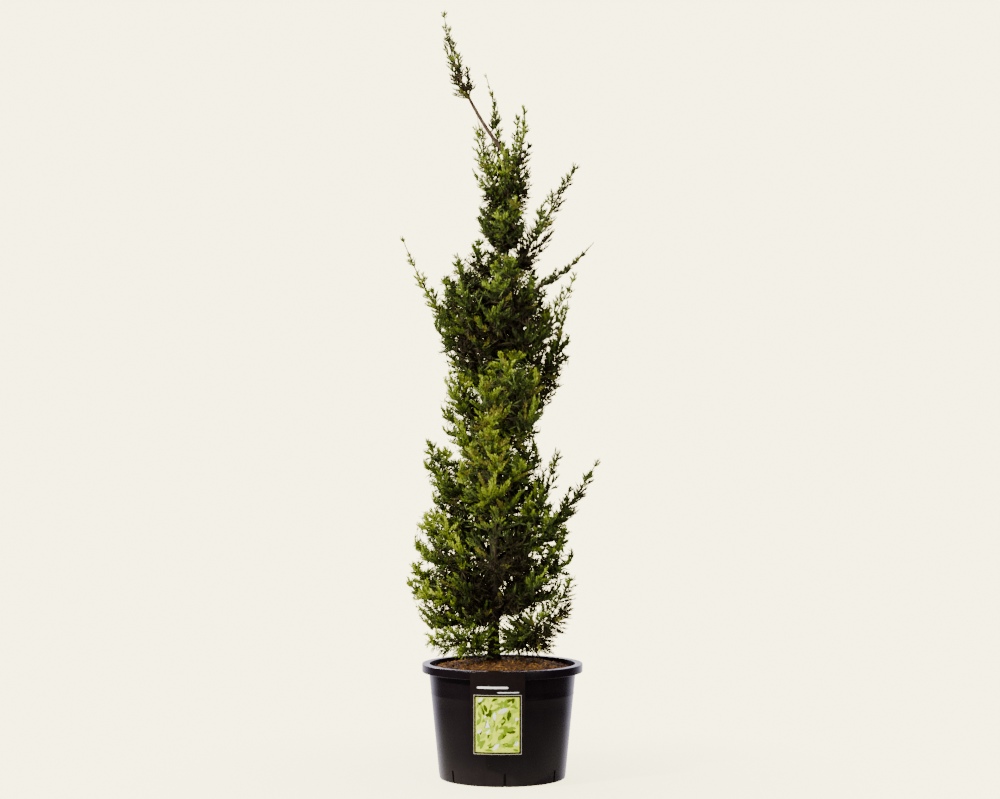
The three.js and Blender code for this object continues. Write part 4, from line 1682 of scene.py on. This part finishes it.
@dataclass
class Pot:
    """The nursery pot: a tapered tub with a turned-down rim and drain notches, in millimetres and degrees."""

    height: float = 238.0
    rim_radius: float = 167.0
    rim_skirt: float = 17.0
    rim_wall: float = 2.6
    wall: float = 2.6
    wall_top_radius: float = 154.0
    foot_radius: float = 131.0
    foot_round: float = 4.0
    floor: float = 4.0
    edge_round: float = 1.3
    lip_round: float = 0.6
    skirt_round: float = 0.8
    wall_low: float = 12.0
    wall_steps: int = 8
    line_height: float = 176.0
    line_depth: float = 0.5
    line_width: float = 2.0
    line_under: float = 3.0
    line_over: float = 3.5
    upper_steps: int = 5
    ledge_under: float = 4.0
    ledge_in: float = 3.0
    ledge_round: float = 1.0
    round_steps: int = 5
    inside_shares: tuple[float, ...] = (0.7, 0.35, 0.0)
    sides: int = 180
    notches: int = 7
    notch_width: float = 5.0
    notch_height: float = 28.0
    notch_depth: float = 16.0
    notch_turn: float = 2.0
    notch_steps: int = 9
    notch_under: float = 5.0
    sharp_from: float = 32.0
    plastic: PotFinish = PotFinish(
        "pot_plastic", (0.0025, 0.001, 0.0018), (0.0045, 0.003, 0.004), (0.013, 0.009, 0.009), 0.06
    )

    def outer(self, height: float) -> float:
        """Give the outside radius of the tub at a height."""
        return mix(self.foot_radius, self.wall_top_radius, height / (self.height - self.rim_wall))

    def profile(self) -> list[Span]:
        """Draw the outline that is turned round the upright axis.

        Returns:
            Its points as radius and height, from the foot up outside and down inside.
        """
        ledge = self.height - self.rim_wall
        skirt = self.height - self.rim_skirt
        inside = self.wall_top_radius - self.wall
        within = self.rim_radius - self.rim_wall
        line = self.line_height
        turn = np.radians(np.linspace(0, 90, self.round_steps))
        arc = [(1 - math.cos(a), 1 - math.sin(a)) for a in turn]
        foot = [(self.outer(0) - self.foot_round * s, self.foot_round * c) for c, s in arc]
        heights = np.linspace(self.wall_low, line - self.line_under, self.wall_steps)
        wall = [(self.outer(h), h) for h in heights]
        raised = [(self.outer(h) + self.line_depth, h) for h in (line, line + self.line_width)]
        heights = np.linspace(line + self.line_over, ledge - self.ledge_under, self.upper_steps)
        upper = [(self.outer(h), h) for h in heights]
        under = [(self.wall_top_radius + self.ledge_in, ledge), (within - self.ledge_round, ledge)]
        lip = [(within, ledge - self.ledge_round), (within, skirt + self.lip_round)]
        lip += [(within + self.lip_round, skirt), (self.rim_radius - self.skirt_round, skirt)]
        lip += [(self.rim_radius, skirt + self.skirt_round)]
        edge = [(self.rim_radius - self.edge_round * c, self.height - self.edge_round * s) for c, s in arc]
        edge += [(inside + self.edge_round * s, self.height - self.edge_round * c) for c, s in arc]
        low = self.foot_radius - self.wall
        inner = [(mix(low, inside, s), mix(self.floor, self.height, s)) for s in self.inside_shares]
        return [*foot, *wall, *raised, *upper, *under, *lip, *edge, *inner]

    def build(self) -> None:
        """Make the tub and cut its notches."""
        level = level_ring(self.sides)
        rows = [np.column_stack([level * r, np.full(self.sides, z)]) for r, z in self.profile()]
        points = np.concatenate([*rows, [[0.0, 0.0, 0.0], [0.0, 0.0, self.floor]]])
        last = (len(rows) - 1) * self.sides
        under = len(rows) * self.sides
        k = np.arange(self.sides)
        after = (k + 1) % self.sides
        foot = np.stack([np.full_like(k, under), after, k], 1)
        floor = np.stack([np.full_like(k, under + 1), last + k, last + after], 1)
        arrays = MeshArrays()
        arrays.add(points, np.concatenate([grid_faces(len(rows), self.sides, True), foot, floor]))
        obj = arrays.build("pot_tub", [self.plastic.material()])
        self.cut_notches(obj)
        place_piece(obj, ["pot"])

    def notch_cutter(self) -> bpy.types.Object:
        """Make a round-headed bar through the wall at each drain notch.

        Returns:
            The bars as one object.
        """
        cutter = bmesh.new()
        half = self.notch_width / 2
        shoulder = self.notch_height - half
        turns = np.linspace(0, np.pi, self.notch_steps)
        head = [(half * math.cos(a), shoulder + half * math.sin(a)) for a in turns]
        outline = [(half, -self.notch_under), *head, (-half, -self.notch_under)]
        depths = (self.foot_radius - self.notch_depth / 2, self.foot_radius + self.notch_depth)
        for n in range(self.notches):
            middle = heading(-90 + self.notch_turn + 360 * n / self.notches)
            side = np.cross(UP, middle)
            ends = []
            for depth in depths:
                spots = [(middle * depth + side * x + UP * z) * MM for x, z in outline]
                ends.append([cutter.verts.new(spot) for spot in spots])
            inner, outer = ends
            cutter.faces.new(inner[::-1])
            cutter.faces.new(outer)
            for a in range(len(outline)):
                b = (a + 1) % len(outline)
                cutter.faces.new((inner[a], inner[b], outer[b], outer[a]))
        bmesh.ops.recalc_face_normals(cutter, faces=cutter.faces)
        mesh = bpy.data.meshes.new("notch_cutter")
        cutter.to_mesh(mesh)
        cutter.free()
        tool = bpy.data.objects.new("notch_cutter", mesh)
        bpy.context.scene.collection.objects.link(tool)
        return tool

    def cut_notches(self, obj: bpy.types.Object) -> None:
        """Cut the drain notches out of the tub.

        Args:
            obj: The tub.
        """
        tool = self.notch_cutter()
        cut = obj.modifiers.new("notches", "BOOLEAN")
        cut.operation = "DIFFERENCE"
        cut.solver = "EXACT"
        cut.object = tool
        depsgraph = bpy.context.evaluated_depsgraph_get()
        made = bpy.data.meshes.new_from_object(obj.evaluated_get(depsgraph))
        obj.modifiers.clear()
        obj.data = made
        bpy.data.objects.remove(tool)
        made.shade_smooth()
        made.set_sharp_from_angle(angle=math.radians(self.sharp_from))


@dataclass
class Soil:
    """The mulched soil that fills the pot, with loose chips on it, in millimetres."""

    pot: Pot
    edge: float = 226.0
    top: float = 243.0
    flat: float = 42.0
    shoulder: float = 84.0
    shoulder_rise: float = 0.75
    gap: float = 1.2
    floor_gap: float = 0.4
    sides: int = 150
    rows: int = 70
    least_radius: float = 1.5
    relief: float = 2.4
    relief_scale: float = 0.11
    relief_kind: tuple[float, ...] = (0.8, 2.2, 4)
    relief_span: Span = (-4.0, 2.0)
    relief_edge: float = 6.0
    chips: int = 1700
    chip_seed: int = 7
    chip_edge: float = 5.0
    chip_lift: Span = (0.0, 2.2)
    chip_length: Span = (3.0, 14.0)
    chip_width: Span = (1.0, 3.2)
    chip_thick: Span = (0.5, 1.2)
    chip_wear: Span = (0.6, 1.0)
    chip_slope: float = 0.32
    chip_tilt: float = 0.3
    mulch: MulchFinish = MulchFinish("mulch", (0.012, 0.005, 0.001), (0.075, 0.028, 0.003), Grain(190.0, 5.0))
    # A darker copy of the mulch, painted shade on the soil's side wall and underside inside the pot.
    shaded_wall: MulchFinish = MulchFinish(
        "mulch_in_shade", (0.004, 0.003, 0.002), (0.012, 0.007, 0.005), Grain(190.0, 5.0)
    )

    CHIP_GRAIN = Grain(400.0, 5.0)
    CHIPS = (
        MulchFinish("chip_russet", (0.062, 0.02, 0.002), (0.15, 0.052, 0.006), CHIP_GRAIN),
        MulchFinish("chip_brown", (0.025, 0.009, 0.001), (0.07, 0.027, 0.003), CHIP_GRAIN),
        MulchFinish("chip_dark", (0.012, 0.006, 0.004), (0.04, 0.018, 0.009), CHIP_GRAIN),
        MulchFinish("chip_tan", (0.1, 0.044, 0.005), (0.23, 0.11, 0.014), CHIP_GRAIN),
    )
    BOX = ((0, 1, 3, 2), (4, 6, 7, 5), (0, 4, 5, 1), (2, 3, 7, 6), (0, 2, 6, 4), (1, 5, 7, 3))

    def outer(self, height: float) -> float:
        """Give the soil's radius at a height."""
        return self.pot.outer(height) - self.pot.wall - self.gap

    def surface(self, radii: Array) -> Array:
        """Find the height of the soil before its relief.

        Args:
            radii: Distances from the middle.

        Returns:
            One height for each.
        """
        places = (0, self.flat, self.shoulder, self.outer(self.edge))
        shoulder = mix(self.edge, self.top, self.shoulder_rise)
        return np.interp(radii, places, (self.top, self.top, shoulder, self.edge))

    def ring(self, level: Array, radius: float) -> Array:
        """Work out one ring of the soil's surface, with its relief.

        Args:
            level: A circle of radius 1.
            radius: The ring's radius.

        Returns:
            Its points.
        """
        spots = level * radius
        flat = [Vector((x * self.relief_scale, y * self.relief_scale, 0.0)) for x, y in spots]
        bumps = np.array([noise.fractal(spot, *self.relief_kind) for spot in flat])
        lift = self.relief * bumps * min(1.0, (self.outer(self.edge) - radius) / self.relief_edge)
        heights = self.surface(np.full(self.sides, radius)) + np.clip(lift, *self.relief_span)
        return np.column_stack([spots, heights])

    def build(self) -> None:
        """Make the soil and its chips."""
        level = level_ring(self.sides)
        radii = np.linspace(self.least_radius, self.outer(self.edge), self.rows)
        low = self.pot.floor + self.floor_gap
        points = [np.column_stack([level * self.outer(low), np.full(self.sides, low)])]
        points += [self.ring(level, radius) for radius in radii[::-1]]
        arrays = MeshArrays()
        faces = grid_faces(len(points), self.sides, True)
        # The side wall's rows and the underside take the darker mulch as painted shade.
        arrays.add(np.concatenate(points), faces, (faces.min(1) < self.sides).astype(int))
        arrays.add(points[0], fan_faces(self.sides, False), 1)
        arrays.add(points[-1], fan_faces(self.sides, True))
        materials = [self.mulch.material(), self.shaded_wall.material()]
        place_piece(arrays.build("soil_bed", materials), ["soil"])
        self.build_chips()

    def build_chips(self) -> None:
        """Scatter bark chips over the soil."""
        count = self.chips
        rng = np.random.default_rng(self.chip_seed)
        radii = (self.outer(self.edge) - self.chip_edge) * np.sqrt(rng.random(count))
        angles = rng.uniform(0, 2 * np.pi, count)
        spots = np.column_stack([radii * np.cos(angles), radii * np.sin(angles), self.surface(radii)])
        spots[:, 2] += rng.uniform(*self.chip_lift, count)
        long = unit(np.column_stack([rng.normal(size=(count, 2)), rng.normal(0, self.chip_slope, count)]))
        wide = unit(np.cross(unit(rng.normal(0, self.chip_tilt, (count, 3)) + UP), long))
        thick = np.cross(long, wide)
        spans = (self.chip_length, self.chip_width, self.chip_thick)
        sizes = np.column_stack([rng.uniform(*span, count) for span in spans])
        corners = np.array([[x, y, z] for x in (-1, 1) for y in (-1, 1) for z in (-1, 1)], float)
        worn = corners[None] * rng.uniform(*self.chip_wear, (count, len(corners), 3)) * sizes[:, None] * 0.5
        points = spots[:, None] + worn[..., :1] * long[:, None] + worn[..., 1:2] * wide[:, None]
        points = points + worn[..., 2:] * thick[:, None]
        box = [corner for a, b, c, d in self.BOX for corner in ((a, b, c), (a, c, d))]
        tints = np.repeat(rng.integers(0, len(self.CHIPS), count), len(box))
        arrays = MeshArrays()
        arrays.add(points, numbered(box, len(corners), count), tints)
        materials = [finish.material() for finish in self.CHIPS]
        place_piece(arrays.build("soil_chips", materials, smooth=False), [])


class Ink(IntEnum):
    """The printed colours of the label."""

    LINE = 0
    PALE = 1
    WHITE = 2
    LIME = 3
    LEAF = 4
    DEEP = 5


@dataclass
class Label:
    """The curved card that hangs in front of the rim, with a leaf design, in millimetres and degrees."""

    pot: Pot
    height: float = 166.0
    half_angle: float = 19.3
    turn: float = -3.5
    thick: float = 0.8
    gap: float = 0.3
    columns: int = 28
    hook_half_angle: float = 4.5
    hook_drop: float = 14.0
    hook_in: float = 2.4
    below_rim: float = 2.0
    corner: float = 3.0
    frame_width: float = 98.0
    frame_height: float = 119.0
    frame_low: float = 2.5
    frame_line: float = 0.9
    panel_width: float = 88.5
    panel_height: float = 110.0
    print_sink: float = 0.2
    print_lift: float = 0.12
    bars: tuple[tuple[float, ...], ...] = ((-42.0, 22.0, 13.0, 17.0, 1.5), (0.0, 44.0, 4.5, 6.1, 0.6))
    leaf_seed: int = 3
    leaf_outset: float = 4.0
    leaf_reach: tuple[float, float, float] = (136.0, 4.0, -8.0)
    leaf_lean: Span = (2.0, 90.0)
    leaf_step: float = 9.0
    leaf_stray: float = 3.0
    leaf_splay: float = 34.0
    leaf_sway: float = 9.0
    leaf_length: Span = (15.0, 24.0)
    leaf_swell: float = 0.2
    leaf_power: float = 0.8
    leaf_points: int = 8
    leaf_margin: float = 1.5
    leaf_lift: float = 0.08
    leaf_layer: float = 0.002
    leaf_layers: int = 40
    leaf_inks: tuple[Ink, ...] = (Ink.PALE, Ink.WHITE, Ink.LIME, Ink.LEAF, Ink.DEEP)
    leaf_ink_shares: tuple[float, ...] = (0.16, 0.1, 0.28, 0.28, 0.18)
    black: PrintFinish = PrintFinish("label_black", (0.005, 0.0032, 0.0028), (0.007, 0.0045, 0.004), 0.3)

    INKS = {
        Ink.LINE: PrintFinish("print_line", (0.28, 0.27, 0.2), (0.34, 0.33, 0.26)),
        Ink.PALE: PrintFinish("print_pale", (0.4, 0.5, 0.0), (0.56, 0.66, 0.004)),
        Ink.WHITE: PrintFinish("print_white", (0.62, 0.62, 0.6), (0.7, 0.7, 0.68)),
        Ink.LIME: PrintFinish("print_lime", (0.22, 0.34, 0.0), (0.32, 0.45, 0.0)),
        Ink.LEAF: PrintFinish("print_leaf", (0.09, 0.16, 0.0), (0.15, 0.24, 0.0)),
        Ink.DEEP: PrintFinish("print_deep", (0.018, 0.036, 0.0), (0.04, 0.07, 0.001)),
    }

    def bent(self, across: Array, up: Array, out: float | Array) -> Array:
        """Place points of the flat card on its curve.

        Args:
            across: Distances to the right of the card's middle.
            up: Heights.
            out: Distances out from the card's back.

        Returns:
            The points.
        """
        face = self.pot.rim_radius + self.gap
        angle = math.radians(-90 + self.turn) + np.asarray(across) / (face + self.thick)
        radius = face + np.asarray(out) * np.ones_like(angle)
        heights = np.asarray(up) * np.ones_like(angle)
        return np.stack([radius * np.cos(angle), radius * np.sin(angle), heights], -1)

    @property
    def half_width(self) -> float:
        """Half of the card's width along its curve."""
        return math.radians(self.half_angle) * (self.pot.rim_radius + self.gap + self.thick)

    @property
    def top(self) -> float:
        """Height of the card's top edge."""
        return self.pot.height - self.below_rim

    @property
    def front(self) -> float:
        """Distance of the print's face from the card's back."""
        return self.thick + self.print_lift

    def slab(
        self, arrays: MeshArrays, sides: Span, ends: Span, depth: Span, ink: int = 0, corner: float = 0.0
    ) -> None:
        """Add a thin curved plate with round corners.

        Args:
            arrays: Where it is gathered.
            sides: Its left and right edges.
            ends: Its lower and upper edges.
            depth: Distances of its back and front from the card's back.
            ink: Its material number.
            corner: Radius of its corners.
        """
        columns = self.columns
        left, right = sides
        low, high = ends
        back, front = depth
        x = np.linspace(left, right, columns)
        edge = np.clip(corner - np.minimum(x - left, right - x), 0, corner)
        trim = corner - np.sqrt(np.maximum(corner**2 - edge**2, 0))
        rows = [(low + trim, back), (low + trim, front), (high - trim, front), (high - trim, back)]
        points = np.concatenate([self.bent(x, z, out) for z, out in rows])
        faces = []
        for a, b in ((0, 1), (1, 2), (2, 3), (3, 0)):
            p = a * columns + np.arange(columns - 1)
            q = b * columns + np.arange(columns - 1)
            faces += [np.stack([p, p + 1, q + 1], 1), np.stack([p, q + 1, q], 1)]
        for k in (0, columns - 1):
            end = np.array([k, k + columns, k + 2 * columns, k + 3 * columns])
            fan = np.array([[end[0], end[1], end[2]], [end[0], end[2], end[3]]])
            faces.append(fan[:, ::-1] if k == 0 else fan)
        arrays.add(points, np.concatenate(faces), ink)

    def build(self) -> None:
        """Make the card, its hook and its print."""
        card = MeshArrays()
        low = self.top - self.height
        width = (-self.half_width, self.half_width)
        self.slab(card, width, (low, self.top), (0.0, self.thick), corner=self.corner)
        self.add_hook(card)
        place_piece(card.build("label_card", [self.black.material()], smooth=False), ["label"])
        self.build_print(low + self.frame_low)

    def add_hook(self, card: MeshArrays) -> None:
        """Add the narrow hook that passes over the rim and down inside it.

        Args:
            card: Where it is gathered.
        """
        half = math.radians(self.hook_half_angle) * (self.pot.rim_radius + self.gap)
        over = self.pot.height + self.gap
        high = over + self.thick
        inner = self.pot.wall_top_radius - self.pot.wall - self.hook_in - self.pot.rim_radius - self.gap
        self.slab(card, (-half, half), (self.top - self.corner, high), (0.0, self.thick))
        self.slab(card, (-half, half), (over, high), (inner, 0.0))
        self.slab(card, (-half, half), (over - self.hook_drop / 2, high), (inner - self.thick, inner))

    def build_print(self, foot: float) -> None:
        """Make the frame line, the picture panel with its leaves, and the two plain bars above it.

        Args:
            foot: Height of the frame's lower edge.
        """
        prints = MeshArrays()
        depth = (self.thick - self.print_sink, self.front)
        half = self.frame_width / 2
        head = foot + self.frame_height
        line = self.frame_line
        self.slab(prints, (-half, half), (foot, foot + line), depth, Ink.LINE)
        self.slab(prints, (-half, half), (head - line, head), depth, Ink.LINE)
        self.slab(prints, (-half, -half + line), (foot, head), depth, Ink.LINE)
        self.slab(prints, (half - line, half), (foot, head), depth, Ink.LINE)
        panel = self.panel_width / 2
        base = (foot + head) / 2 - self.panel_height / 2
        self.slab(prints, (-panel, panel), (base, base + self.panel_height), depth, Ink.PALE)
        for left, right, low, high, corner in self.bars:
            self.slab(prints, (left, right), (head + low, head + high), depth, Ink.WHITE, corner)
        self.add_leaves(prints, base)
        inks = [self.INKS[ink].material() for ink in Ink]
        place_piece(prints.build("label_print", inks, smooth=False), [])

    def add_leaves(self, prints: MeshArrays, base: float) -> None:
        """Add rows of broad leaves that fan from the panel's lower left corner.

        Args:
            prints: Where they are gathered.
            base: Height of the panel's lower edge.
        """
        rng = np.random.default_rng(self.leaf_seed)
        corner = np.array([-self.panel_width / 2 - self.leaf_outset, base - self.leaf_outset])
        layer = 0
        for reach in np.arange(*self.leaf_reach):
            for lean in np.arange(*self.leaf_lean, math.degrees(self.leaf_step / reach)):
                angle = math.radians(lean + rng.uniform(-self.leaf_stray, self.leaf_stray))
                spot = corner + reach * np.array([math.cos(angle), math.sin(angle)])
                splay = rng.choice((-self.leaf_splay, self.leaf_splay))
                way = angle + math.radians(splay + rng.uniform(-self.leaf_sway, self.leaf_sway))
                ink = int(rng.choice(self.leaf_inks, p=self.leaf_ink_shares))
                layer += 1
                out = self.front + self.leaf_layer * (layer % self.leaf_layers) + self.leaf_lift
                flat = self.leaf(spot, way, rng.uniform(*self.leaf_length), base)
                if flat is not None:
                    faces = grid_faces(3, self.leaf_points, False)
                    prints.add(self.bent(flat[:, 0], flat[:, 1], out), faces, ink)

    def leaf(self, spot: Array, way: float, length: float, base: float) -> Array | None:
        """Draw one oval leaf, cut off where it would cross the panel's edge.

        Args:
            spot: Where it starts on the flat card.
            way: Its angle.
            length: Its length.
            base: Height of the panel's lower edge.

        Returns:
            Its points on the flat card in three rows, or None where its middle is off the panel.
        """
        along = np.array([math.cos(way), math.sin(way)])
        across = np.array([-along[1], along[0]])
        share = np.linspace(0, 1, self.leaf_points)
        swell = (self.leaf_swell * length * np.sin(np.pi * share) ** self.leaf_power)[:, None]
        middle = spot + along * length * share[:, None]
        flat = np.concatenate([middle - across * swell, middle, middle + across * swell])
        margin = self.leaf_margin
        low = np.array([margin - self.panel_width / 2, base + margin])
        high = np.array([self.panel_width / 2 - margin, base + self.panel_height - margin])
        centre = middle[self.leaf_points // 2]
        if (centre < low).any() or (centre > high).any():
            return None
        return np.clip(flat, low, high)


@dataclass(frozen=True)
class SoftLight:
    """A soft square light that faces a point, in metres and watts."""

    name: str
    place: Point
    aim: Point
    size: float
    power: float
    colour: Colour

    def build(self) -> None:
        """Make the light."""
        light = bpy.data.lights.new(self.name, "AREA")
        light.size = self.size
        light.energy = self.power
        light.color = self.colour
        obj = bpy.data.objects.new(self.name, light)
        obj.location = self.place
        obj.rotation_euler = (Vector(self.aim) - Vector(self.place)).to_track_quat("-Z", "Y").to_euler()
        bpy.context.scene.collection.objects.link(obj)


@dataclass
class Studio:
    """Pale floor, soft light and the camera, in metres."""

    backdrop: Colour = (6.7, 6.0, 3.3)
    fill: Colour = (1.25, 1.21, 1.2)
    sheen: Colour = (2.7, 2.45, 3.1)
    gloom: Colour = (0.05, 0.026, 0.045)
    sheen_stops: Span = (0.55, 1.0)
    camera_place: Point = (-0.005, -4.85, 0.786)
    lens: float = 83.9
    sensor: float = 36.0
    floor_radius: float = 1.6
    floor_sides: int = 96
    floor_colour: Colour = (0.9, 0.86, 0.76)
    floor_roughness: float = 0.9
    floor_fade: Span = (0.12, 0.8)
    floor_most: float = 0.4
    lights: tuple[SoftLight, ...] = (
        SoftLight("key", (-3.6, -2.7, 3.8), (0.0, 0.0, 0.75), 0.5, 1050.0, (1.0, 0.97, 0.88)),
        SoftLight("side", (2.6, -2.4, 1.6), (0.0, 0.0, 0.7), 1.6, 60.0, (0.95, 0.96, 1.0)),
        SoftLight("back", (-1.2, 3.4, 3.0), (0.0, 0.0, 0.8), 1.4, 260.0, (1.0, 0.98, 0.94)),
    )

    def build(self) -> None:
        """Make the world, the floor, the lights and the camera."""
        self.build_world()
        self.build_floor()
        for light in self.lights:
            light.build()
        camera = bpy.data.cameras.new("camera")
        camera.lens = self.lens
        camera.sensor_width = self.sensor
        camera.sensor_fit = "HORIZONTAL"
        obj = bpy.data.objects.new("camera", camera)
        obj.location = self.camera_place
        obj.rotation_euler = (math.radians(90), 0.0, 0.0)
        bpy.context.scene.collection.objects.link(obj)
        bpy.context.scene.camera = obj

    def build_world(self) -> None:
        """Make a pale backdrop that lights matt surfaces only softly."""
        world = bpy.data.worlds.new("studio")
        bpy.context.scene.world = world
        world.use_nodes = True
        nodes = Nodes(world.node_tree)
        pale = nodes.tree.nodes["Background"]
        pale.inputs["Color"].default_value = (*self.backdrop, 1.0)
        soft = nodes.node("Background", Color=(*self.fill, 1.0))
        gloss = nodes.node("Background")
        nodes.link(self.sheen_by_direction(nodes), gloss.inputs["Color"])
        path = nodes.node("LightPath")
        mixed = soft.outputs["Background"]
        for ray, shown in (("Is Glossy Ray", gloss), ("Is Camera Ray", pale)):
            both = nodes.node("MixShader")
            nodes.link(path.outputs[ray], both.inputs["Fac"])
            nodes.link(mixed, both.inputs[1])
            nodes.link(shown.outputs["Background"], both.inputs[2])
            mixed = both.outputs["Shader"]
        nodes.link(mixed, nodes.tree.nodes["World Output"].inputs["Surface"])

    def sheen_by_direction(self, nodes: Nodes) -> Socket:
        """Add what glossy surfaces mirror: a bright wall behind the plant and a dark room before it.

        Args:
            nodes: The world's nodes.

        Returns:
            The colour in each direction.
        """
        way = nodes.node("TexCoord").outputs["Generated"]
        parts = nodes.node("SeparateXYZ")
        nodes.link(way, parts.inputs["Vector"])
        return nodes.ramp(parts.outputs["Y"], self.sheen_stops, (self.gloom, self.sheen))

    def build_floor(self) -> None:
        """Make a pale round floor that fades into the backdrop."""
        bm = bmesh.new()
        bmesh.ops.create_circle(bm, cap_ends=True, segments=self.floor_sides, radius=self.floor_radius)
        mesh = bpy.data.meshes.new("floor")
        bm.to_mesh(mesh)
        bm.free()
        floor = bpy.data.objects.new("floor", mesh)
        bpy.context.scene.collection.objects.link(floor)
        shader = Shader("floor_pale")
        shader.set(Base_Color=(*self.floor_colour, 1.0), Roughness=self.floor_roughness)
        away = shader.node("VectorMath", operation="LENGTH")
        shader.link(shader.spot(), away.inputs[0])
        near, far = self.floor_fade
        fade = shader.node("MapRange", From_Min=near, From_Max=far, To_Min=self.floor_most, To_Max=0.0)
        shader.link(away.outputs["Value"], fade.inputs["Value"])
        shader.feed("Alpha", fade.outputs["Result"])
        mesh.materials.append(shader.material)


def main() -> None:
    """Load the solids and dress every one of them."""
    logging.basicConfig(level=logging.INFO, format="%(name)s %(message)s")
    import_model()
    Studio().build()
    pot = Pot()
    pot.build()
    Soil(pot).build()
    Label(pot).build()
    trunk = Trunk()
    trunk.build()
    crown = Crown(trunk)
    crown.build_boughs()
    Foliage(crown).grow()
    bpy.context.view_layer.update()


if __name__ == "__main__":
    main()
